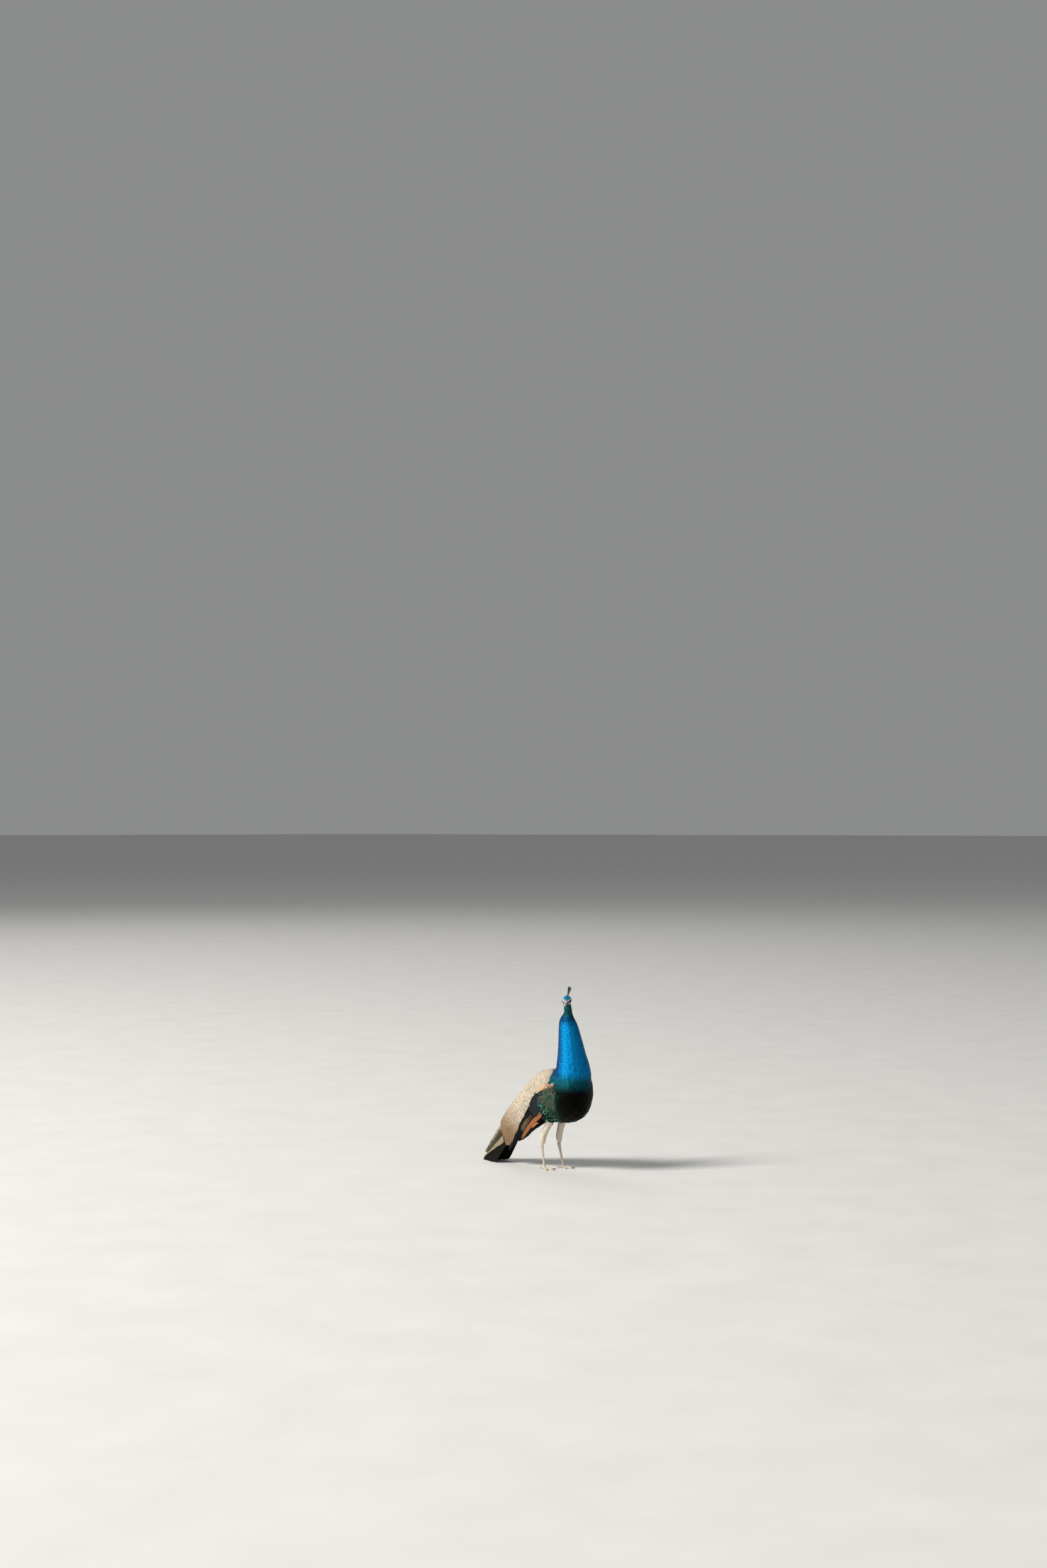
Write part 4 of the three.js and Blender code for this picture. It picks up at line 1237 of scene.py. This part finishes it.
def quills(name, paths, material, colours, inks, bars=None, thickness=0.0005):
    """Long feathers as thin closed blades. A path is (centres, normals, half widths) by row."""
    across = np.array([-1, -0.6, -0.2, -0.04, 0, 0.04, 0.2, 0.6, 1])
    width = len(across)
    cells = math.ceil(math.sqrt(len(paths)))
    parts = {key: [] for key in ("co", "faces", "vane", "bake", "colour", "ink", "seed", "bars")}
    count = 0
    for index, (centre, normal, half) in enumerate(paths):
        rows = len(centre)
        along = np.linspace(0, 1, rows)
        side = unit(np.cross(normal, unit(np.gradient(centre, axis=0))))
        ragged = 1 + RNG.normal(0, 0.02, (rows, width)) * (np.abs(across) > 0.9)
        flat = centre[:, None] + side[:, None] * (across * half[:, None] * ragged)[..., None]
        bow = -0.08 * half[:, None] * across**2
        shaft = 0.0006 * (np.abs(across) < 0.02) * (1 - 0.7 * along[:, None])
        top = flat + normal[:, None] * (bow + shaft)[..., None]
        under = flat + normal[:, None] * (bow - thickness)[..., None]
        top[..., 2] = np.maximum(top[..., 2], FLOOR_CLEARANCE + thickness)
        under[..., 2] = np.maximum(under[..., 2], FLOOR_CLEARANCE)
        grid = np.arange(rows * width).reshape(rows, width)
        over = quads(rows, width)
        ring = np.concatenate([grid[0, :-1], grid[:-1, -1], grid[-1, :0:-1], grid[:0:-1, 0]])
        after = np.roll(ring, -1)
        rim = np.stack([after, ring, ring + rows * width, after + rows * width], -1)
        parts["faces"].append(np.concatenate([over, over[:, ::-1] + rows * width, rim]) + count)
        points = 2 * rows * width
        count += points
        u = np.tile((across + 1) / 2, rows * 2)
        v = np.tile(np.repeat(along, width), 2)
        cell = np.array([index % cells, index // cells])
        sheet = np.repeat([0.0, 0.5], rows * width)
        parts["co"].append(np.concatenate([top.reshape(-1, 3), under.reshape(-1, 3)]))
        parts["vane"].append(np.stack([u, v], axis=1))
        parts["bake"].append((cell + np.stack([0.05 + 0.42 * u + sheet, 0.04 + 0.92 * v], axis=1)) / cells)
        by_row = np.broadcast_to(colours[index], (rows, 3))
        parts["colour"].append(np.tile(np.repeat(by_row, width, axis=0), (2, 1)))
        parts["ink"].append(same(inks[index], points))
        parts["seed"].append(np.full(points, RNG.random()))
        parts["bars"].append(np.full(points, 0.0 if bars is None else bars[index]))
    made = {key: np.concatenate(value) for key, value in parts.items()}
    return make_piece(
        name, made["co"], made["faces"], material, colours=made["colour"], ink=made["ink"],
        floats={"seed": made["seed"], "bars": made["bars"]},
        maps={"vane": made["vane"], "OFBake": made["bake"]},
    )


def blade(along, half, base, widest, tip):
    """Half widths of a quill's vane along its length."""
    rise = base + (1 - base) * step(0, widest, along)
    fall = np.sqrt(np.clip(1 - ((along - widest) / (1 - widest)) ** 2, 0, 1))
    return half * np.where(along < widest, rise, tip + (1 - tip) * fall)


def over_wing(shell, side, start, end, sink):
    """A sagging path over a wing's outer face, from start to end in side view, sunk below it."""
    share = np.linspace(0, 1, WING_STATIONS)
    run = end - start
    square = unit(np.array([run[1], -run[0]]))
    sag = min(0.005, 0.03 * np.linalg.norm(run))
    centre, normal = [], []
    for forward, up in start + run * share[:, None] + square * (sag * np.sin(math.pi * share))[:, None]:
        place, way, _, _ = shell.tree.ray_cast(row((forward, side * 0.3, up)), Vector((-side, 0, 0)))
        if place is None:
            near = shell.tree.find_nearest(row((forward, side * 0.09, up)))[0]
            place, way = (near[0], *row((forward, 0, up))[1:]), (side, 0, 0.15)
        centre.append(np.array(place))
        normal.append(np.array(way))
    centre, normal = np.array(centre), unit(np.array(normal))
    normal[:, 0] = np.abs(normal[:, 0]) * side
    for _ in range(3):
        for path in (centre, normal):
            path[1:-1] = (path[:-2] + 2 * path[1:-1] + path[2:]) / 4
    return centre - unit(normal) * sink, unit(normal)


# Rows of wing quills in side view, from the innermost out: how many, roots and tips of the first
# and the last as (forward, up), half width, depth of the first below the outer face and how much
# deeper each next one lies. Rise is how far the bared part of each stands out again.
PLAIN_ROW = dict(finish="dark", slot="plumage_dark", ink=(*BAR, 0.0), blade=(0.3, 0.72, 0.12), rise=0,
                 bared=(0.05, 0.5), tucks=False)
WING_ROWS = {
    "primaries": dict(
        count=4, roots=((0.012, 0.280), (0.022, 0.272)), tips=((-0.150, 0.132), (-0.104, 0.162)),
        half=0.008, sink=0.0054, under=0.0006, colour=(0.010, 0.008, 0.006), slot="plumage_rust",
        tucks=True),
    "short_primary": dict(
        count=1, roots=((-0.024, 0.232),) * 2, tips=((-0.061, 0.203),) * 2, half=0.0040, sink=0.0040,
        under=0, colour=(0.66, 0.27, 0.12), blade=(0.8, 0.15, 0.1), rise=0.0024, finish="rust",
        slot="plumage_rust"),
    "rust_primaries": dict(
        count=2, roots=((-0.006, 0.283), (0.004, 0.273)), tips=((-0.147, 0.140), (-0.138, 0.139)),
        half=0.0060, sink=0.0046, under=0.0005, colour=RUST, blade=(0.9, 0.12, 0.08), rise=0.0020,
        finish="rust", slot="plumage_rust", tucks=True),
    "secondaries": dict(
        count=9, roots=((0.010, 0.398), (0.012, 0.312)), tips=((-0.246, 0.070), (-0.150, 0.158)),
        half=0.016, sink=0.0044, under=0.0005, colour=BLUE_BLACK, tucks=True),
    "tertial": dict(
        count=2, roots=((-0.064, 0.268), (-0.056, 0.260)), tips=((-0.140, 0.187), (-0.132, 0.180)),
        half=0.0068, sink=0.0052, under=0.0005, colour=(0.15, 0.105, 0.065), blade=(0.5, 0.6, 0.2),
        rise=0.0024, finish="barred", slot="plumage_barred", ink=(*BAR, 0.95)),
    "greater_coverts": dict(
        count=7, roots=((0.016, 0.406), (0.016, 0.322)), tips=((-0.088, 0.306), (-0.050, 0.262)),
        half=0.0125, sink=0.0028, under=0.0002, colour=(0.015, 0.021, 0.025)),
    "wing_tips": dict(
        count=7, roots=((-0.190, 0.290), (-0.118, 0.290)), tips=((-0.264, 0.108), (-0.176, 0.172)),
        half=0.0100, sink=0.0030, under=0.0002, colour=None, blade=(0.4, 0.7, 0.1), rise=0.0032,
        bared=(0.22, 0.70), finish="barred", slot="plumage_barred", ink=(0.060, 0.036, 0.020, 0.8)),
}
WING_STATIONS = 16
WING_TUCK = {"left": 0.026, "right": 0.0}
QUILL_REACH = {"left": 0.78, "right": 1.0}  # the share of the long quills that isn't tucked away
QUILL_BAR_SPACING = 0.0042


def make_wing_quills(barred):
    finishes = {
        "dark": quill_finish("dark_quill", 0.36),
        "rust": quill_finish("rust_quill", 0.5, shaft_colour=(0.40, 0.16, 0.07)),
        "barred": barred,
    }
    share = np.linspace(0, 1, WING_STATIONS)
    for side, sign in SIDES.items():
        shell = Surface(*joined([f"{part}_{side}" for part in ("wing", "secondaries", "primaries")]))
        for name, settings in WING_ROWS.items():
            made = PLAIN_ROW | settings
            count = made["count"]
            paths, lengths = [], []
            for i in range(count):
                place = i / max(count - 1, 1)
                start = blend(place, *made["roots"]) + np.array([0, WING_TUCK[side]])
                end = blend(place, *made["tips"]) + np.array([0, WING_TUCK[side]])
                if made["tucks"]:
                    end = blend(QUILL_REACH[side], start, end)
                centre, normal = over_wing(shell, sign, start, end, made["sink"] + i * made["under"])
                centre = centre + normal * (made["rise"] * step(*made["bared"], share))[:, None]
                paths.append((centre, normal, blade(share, made["half"], *made["blade"])))
                lengths.append(np.linalg.norm(end - start))
            if made["colour"]:
                colours = varied(same(made["colour"], count), 0.08)
            else:
                colours = [wing_colour(bird(centre)) for centre, _, _ in paths]
            piece = quills(f"{name}_{side}_feathers", paths, finishes[made["finish"]], colours,
                           same(made["ink"], count), bars=np.array(lengths) / QUILL_BAR_SPACING)
            if name in ("secondaries", "primaries"):
                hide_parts(f"{name}_{side}")


# The folded tail's ridge from root to tip, and its lower corner on the left.
TAIL_ROOT, TAIL_TIP, TAIL_CORNER = (-0.130, 0, 0.366), (-0.472, 0, 0.0), (-0.342, 0.057, 0.0)
TAIL_PAIRS = 10
TAIL_SHINGLE = 0.00042  # how much deeper each tail quill lies than the one above it
LONG_COVERTS = 9
LONG_COVERT_BROWN = (0.40, 0.33, 0.23)
LONG_BAR_SPACING = 0.0050


def tail_plane(sign):
    """The sloping half of the folded tail: its root, its ridge, its slope and its outward side.

    After them come the ridge's length, and the corner's place down the ridge and down the slope.
    """
    root, tip = np.array(TAIL_ROOT), np.array(TAIL_TIP)
    ridge = unit(tip - root)
    corner = np.array(TAIL_CORNER) * (1, sign, 1) - root
    down = corner @ ridge
    across = corner - ridge * down
    slope = unit(across)
    out = unit(np.cross(ridge, slope))
    return root, ridge, slope, out * np.sign(out[2]), np.linalg.norm(tip - root), down, np.linalg.norm(across)


def down_tail(plane, share, start, end, depth):
    """A path on the tail's slope, its ends given as (down the ridge, down the slope), below its face."""
    root, ridge, slope, out = plane[:4]
    down = start[0] + (end[0] - start[0]) * share
    over = start[1] + (end[1] - start[1]) * share**0.8
    centre = root + down[:, None] * ridge + over[:, None] * slope - out * np.reshape(depth, (-1, 1))
    centre[:, 2] = np.maximum(centre[:, 2], FLOOR_CLEARANCE)
    return row(centre), same(row_way(out), len(share))


def make_tail(barred):
    finish = quill_finish("tail_quill", 0.5, shaft_colour=(0.014, 0.011, 0.009))
    share = 1 - (1 - np.linspace(0, 1, 26)) ** 1.7
    for side, sign in SIDES.items():
        plane = tail_plane(sign)
        length, down, aside = plane[4:]
        paths = []
        for i in range(TAIL_PAIRS):
            s = (i + 0.5) / TAIL_PAIRS
            reach = length + (down - length) * s**1.25
            start = (0.010, 0.004 + 0.016 * s)
            end = (reach - RNG.uniform(0, 0.006), 0.006 + (aside - 0.016) * s)
            centre, normal = down_tail(plane, share, start, end, 0.0006 + TAIL_SHINGLE * i)
            paths.append((centre, normal, blade(share, 0.0125, 0.3, 0.94, 0.0)))
        piece = quills(f"tail_{side}_feathers", paths, finish,
                       varied(same(TAIL_BROWN, TAIL_PAIRS), 0.25),
                       inked((0.16, 0.13, 0.10), 0.25, TAIL_PAIRS))
        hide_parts(f"tail_{side}")
        paths, lengths = [], []
        for i in range(LONG_COVERTS):
            s = i / (LONG_COVERTS - 1)
            reach = length * (0.975 - 0.32 * s**0.8) * RNG.uniform(0.98, 1.0)
            start = (0.090, 0.004 + 0.022 * s)
            lift = 0.0032 - 0.0016 * s + 0.0010 * np.sin(math.pi * share)
            centre, normal = down_tail(plane, share, start, (reach, 0.0045 + 0.052 * s), -lift)
            paths.append((centre, normal, blade(share, 0.0055 + 0.0045 * s, 0.4, 0.9, 0.0)))
            lengths.append(reach - start[0])
        quills(f"long_coverts_{side}", paths, barred,
               varied(same(LONG_COVERT_BROWN, LONG_COVERTS), 0.12), inked(BAR, 1.0, LONG_COVERTS),
               bars=np.array(lengths) / LONG_BAR_SPACING)


CREST_SHAFTS = 21
CREST_ROOT = (-0.010, 0.001, 0.018)
CREST_LENGTH = 0.053
CREST_LEANS = (math.radians(46), math.radians(-2))  # of the hindmost and the foremost shaft, from upright
CREST_SPREAD = 0.12
CREST_SWAY = math.radians(14)  # towards the bird's left
CREST_SHAFT, CREST_SPOON = (0.17, 0.16, 0.145), (0.003, 0.035, 0.075)


def make_crest():
    """A fan of nearly bare shafts with small spoons of blue vane at their ends."""
    finish = quill_finish("crest_quill", 0.45, shaft_colour=(0.35, 0.32, 0.28), tip=(0.50, 0.64), fineness=40)
    rows = 20
    share = np.linspace(0, 1, rows)
    round_end = np.where(share > 0.88, np.clip(1 - ((share - 0.88) / 0.12) ** 2, 0.02, 1), 1)
    spoon = step(0.52, 0.86, share) * np.sqrt(round_end)
    cos, sin = math.cos(CREST_SWAY), math.sin(CREST_SWAY)
    tilt = np.array([[1, 0, 0], [0, cos, -sin], [0, sin, cos]])
    paths = []
    for i in range(CREST_SHAFTS):
        place = i / (CREST_SHAFTS - 1)
        lean = CREST_LEANS[0] + (CREST_LEANS[1] - CREST_LEANS[0]) * place
        length = CREST_LENGTH * (0.93 + 0.07 * math.sin(math.pi * place)) * RNG.uniform(0.93, 1.0)
        foot = np.array([-0.005 + 0.010 * place, RNG.normal(0, 0.0008), -0.004])
        angle = lean + 0.12 * (share - 1) ** 2
        aside = CREST_SPREAD * math.cos(0.62 * math.pi * i) + RNG.normal(0, 0.02)
        heading = unit(np.stack([-np.sin(angle), np.full(rows, aside), np.cos(angle)], axis=1))
        centre = foot + heading * (share * (length + 0.004))[:, None]
        spin = RNG.normal(0, 0.3)
        along_fan = np.array([math.cos(lean), 0, math.sin(lean)])
        normal = np.cos(spin) * np.array([0, 1.0, 0]) + np.sin(spin) * along_fan
        half = 0.0005 + 0.0007 * RNG.random(rows) * (share > 0.1) + 0.0027 * spoon
        world = from_head(np.array(CREST_ROOT) + centre @ tilt)
        paths.append((world, same(normal @ tilt @ HEAD_AXES, rows), half))
    colours = varied(same(CREST_SHAFT, CREST_SHAFTS), 0.3)
    inks = varied(inked(CREST_SPOON, 0.95, CREST_SHAFTS), 0.1)
    piece = quills("crest_feathers", paths, finish, colours, inks, thickness=0.0003)
    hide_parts("crest")


# ---- eyes, bill, legs ---------------------------------------------------------------------

EYE_RINGS, EYE_TURNS = 28, 48
IRIS = [(0.3, (0.014, 0.006, 0.003)), (0.7, (0.050, 0.022, 0.010))]
PUPIL, EYE_RIM = (0.003, 0.003, 0.003), (0.012, 0.010, 0.010)
HORN_VOXEL, CLAW_VOXEL, LEG_VOXEL = 0.0006, 0.0005, 0.0010
BILL_HORN, BILL_TIP, BILL_RIDGE = (0.42, 0.36, 0.31), (0.55, 0.49, 0.43), (0.20, 0.16, 0.14)
# painted shade for the nostril's slit
NOSTRIL_SHADE = (0.02, 0.015, 0.012)
CLAW_SHADES = [(0.3, (0.10, 0.08, 0.065)), (0.7, (0.26, 0.22, 0.18))]
LEG_SHADES = [(0.3, (0.50, 0.41, 0.33)), (0.7, (0.66, 0.57, 0.47))]
LEG_GROOVE = (0.24, 0.18, 0.14)
LEG_TOP = 0.150  # the scaled skin ends here, under the thigh's feathers
# painted shade for the lower inner faces of the wings' skin
WING_INSIDE_SHADE = (0.020, 0.015, 0.011)


def make_eyes():
    finish = Finish("eye", roughness=0.3, specular=0.2, Coat_Weight=0.35, Coat_Roughness=0.05)
    _, from_front = finish.vane()
    streaks = finish.noise(900)
    seen = finish.mix(finish.between(0.145, 0.160, from_front), PUPIL, finish.ramp(streaks, IRIS))
    finish.colour(finish.mix(finish.between(0.27, 0.30, from_front), seen, EYE_RIM))
    finish.bump(streaks, 0.05, 0.0001)
    polar, turn = np.meshgrid(np.linspace(0, 1, EYE_RINGS), np.linspace(0, 1, EYE_TURNS), indexing="ij")
    angle, round_axis = polar[..., None] * math.pi, turn[..., None] * 2 * math.pi
    bulge = EYE_RADIUS * (1 - 0.02 * step(0.35, 0.25, polar) * (polar > 0.2))
    faces = np.roll(quads(EYE_RINGS, EYE_TURNS)[:, ::-1], 1, axis=1)
    for side, sign in SIDES.items():
        axis = eye_axis(sign)
        level = unit(np.cross((0, 0, 1), axis))
        aside = np.cos(round_axis) * level + np.sin(round_axis) * np.cross(axis, level)
        out = np.cos(angle) * axis + np.sin(angle) * aside
        co = np.array([EYE_FORWARD, sign * EYE_ASIDE, EYE_UP]) + out * bulge[..., None]
        piece = make_piece(f"eyeball_{side}", from_head(co).reshape(-1, 3), faces, finish.material,
                           maps={"vane": np.stack([turn.ravel(), polar.ravel()], axis=1)})
        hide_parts(f"eye_{side}")


def make_bill():
    finish = Finish("bill_horn", roughness=0.38)
    streaks = finish.noise(260, 5, distortion=0.6)
    own = finish.attribute("plumage")
    deep = finish.tinted(own, (0.62, 0.6, 0.58))
    finish.colour(finish.mix(finish.between(0.35, 0.65, streaks), deep, own))
    finish.bump(streaks, 0.2)
    for node in ("bill_upper", "bill_lower"):
        co, tris = remeshed(node, *joined([node]), HORN_VOXEL)
        h = head_place(relaxed(co, tris, 24))
        h[:, 0] -= 0.004 * step(0.036, 0.026, h[:, 0])
        from_nostril = np.hypot((h[:, 0] - 0.0345) / 0.0030, (h[:, 2] + 0.0060) / 0.0011)
        nostril = step(1.2, 0.5, from_nostril) * (np.abs(h[:, 1]) > 0.001) * (node == "bill_upper")
        h[:, 1] *= 1 - 0.12 * nostril
        colour = blend(step(0.040, 0.055, h[:, 0]), np.array([BILL_HORN]), BILL_TIP)
        colour = blend(step(-0.006, 0.001, h[:, 2]) * 0.5, colour, BILL_RIDGE)
        # painted shade: the nostril's slit is coloured near black
        colour = blend(nostril, colour, NOSTRIL_SHADE)
        piece = make_piece(f"{node}_horn", from_head(h), tris, finish.material, colours=colour)
        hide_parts(node)


def make_claws():
    finish = Finish("claw_horn", roughness=0.4)
    streaks = finish.noise(300, 4, distortion=0.4)
    finish.colour(finish.ramp(streaks, CLAW_SHADES))
    finish.bump(streaks, 0.25)
    for node in [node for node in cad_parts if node.startswith("claw_")]:
        co, tris = remeshed(node, *joined([node]), CLAW_VOXEL)
        co = relaxed(co, tris, 3)
        side = node.rsplit("_", 1)[1]
        away = np.linalg.norm(co - middle_of(f"shank_{side}") * (1, 1, 0), axis=1)
        base, tip = co[away.argmin()], co[away.argmax()]
        axis = unit((tip - base) * (1, 1, 0))
        share = (co - base) @ axis
        co = co - axis * (0.005 * (1 - step(0.0, 0.004, share)))[:, None]
        piece = make_piece(f"{node}_horn", co, tris, finish.material)
        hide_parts(node)


def make_legs():
    """Scaled shanks and feet, with plates across the front and cracked skin behind."""
    finish = Finish("leg_scales", roughness=0.48)
    across, rise = finish.vane()
    plates = finish.maths("FRACT", finish.times(rise, 260))
    groove = finish.rest(finish.between(0.0, 0.18, plates))
    cells = finish.node("TexVoronoi", feature="DISTANCE_TO_EDGE")
    cells.inputs["Scale"].default_value = 620
    finish.tree.links.new(finish.node("TexCoord").outputs["Object"], cells.inputs["Vector"])
    crack = finish.rest(finish.between(0.0, 0.10, cells.outputs["Distance"]))
    front = finish.between(-0.2, 0.3, across)
    lines = finish.maths("MAXIMUM", finish.times(groove, front), finish.times(crack, finish.rest(front)))
    tone = finish.ramp(finish.noise(90, 4), LEG_SHADES)
    finish.colour(finish.mix(finish.times(lines, 0.65), tone, LEG_GROOVE))
    finish.bump(finish.rest(lines), 0.6, 0.0006)
    for side in SIDES:
        nodes = [f"{part}_{side}" for part in ("thigh", "shank", "foot")]
        co, tris = remeshed(f"leg_{side}", *joined(nodes), LEG_VOXEL)
        used, tris = np.unique(tris[co[tris][:, :, 2].max(axis=1) < LEG_TOP], return_inverse=True)
        tris = tris.reshape(-1, 3)
        co = relaxed(co[used], tris, 8)
        normals = Surface(co, tris).normals
        foot = co[:, 2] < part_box(f"foot_{side}")[1].z
        front = np.where(foot, normals[:, 2], -normals[:, 1])
        from_ankle = np.linalg.norm(co[:, :2] - middle_of(f"shank_{side}")[:2], axis=1)
        rise = np.where(foot, from_ankle * 1.6, co[:, 2])
        co = co - normals * (0.0012 * step(0.120, 0.135, co[:, 2]))[:, None]
        co = narrowed(co, LEG_PULL, HOCK_HEIGHTS[0] + 0.001)
        co[:, 2] = np.maximum(co[:, 2], 0.0002)
        piece = make_piece(f"leg_{side}_skin", co, tris, finish.material,
                           maps={"vane": np.stack([(front + 1) / 2, rise], axis=1)})
        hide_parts(f"shank_{side}", f"foot_{side}")


def make_skin_piece(skin):
    finish = Finish("skin", roughness=0.6)
    own = finish.attribute("plumage")
    finish.colour(finish.mix(finish.noise(120), finish.tinted(own, (0.7, 0.7, 0.7)), own))
    finish.bump(finish.noise(1500), 0.4)
    colours = markings(skin.co, skin.group)
    # painted shade: wing skin below the fold that faces inward or down is darkened as if in shadow
    shaded_inside = step(0.1, -0.2, skin.normals[:, 0] * np.sign(skin.co[:, 0]) + 0.6 * skin.normals[:, 2])
    shaded_inside = shaded_inside * belongs(skin.group, "wing") * step(0.30, 0.24, skin.co[:, 2])
    colours = blend(shaded_inside, colours, WING_INSIDE_SHADE)
    piece = make_piece("skin", skin.co, skin.tris, finish.material, colours=colours)
    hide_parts(*SKIN_NODES)


# ---- the whole bird -----------------------------------------------------------------------


def make_bird():
    barred = barred_finish("barred_plumage")
    skin = make_skin()
    make_skin_piece(skin)
    make_body_plumage(skin)
    make_head_plumage(skin)
    make_flank_plumage(skin)
    make_wing_plumage(skin, barred)
    make_train_plumage(skin, barred)
    make_soft_plumage(skin)
    make_wing_quills(barred)
    make_tail(barred)
    make_crest()
    make_eyes()
    make_bill()
    make_legs()
    make_claws()


make_camera()
make_studio()
make_bird()
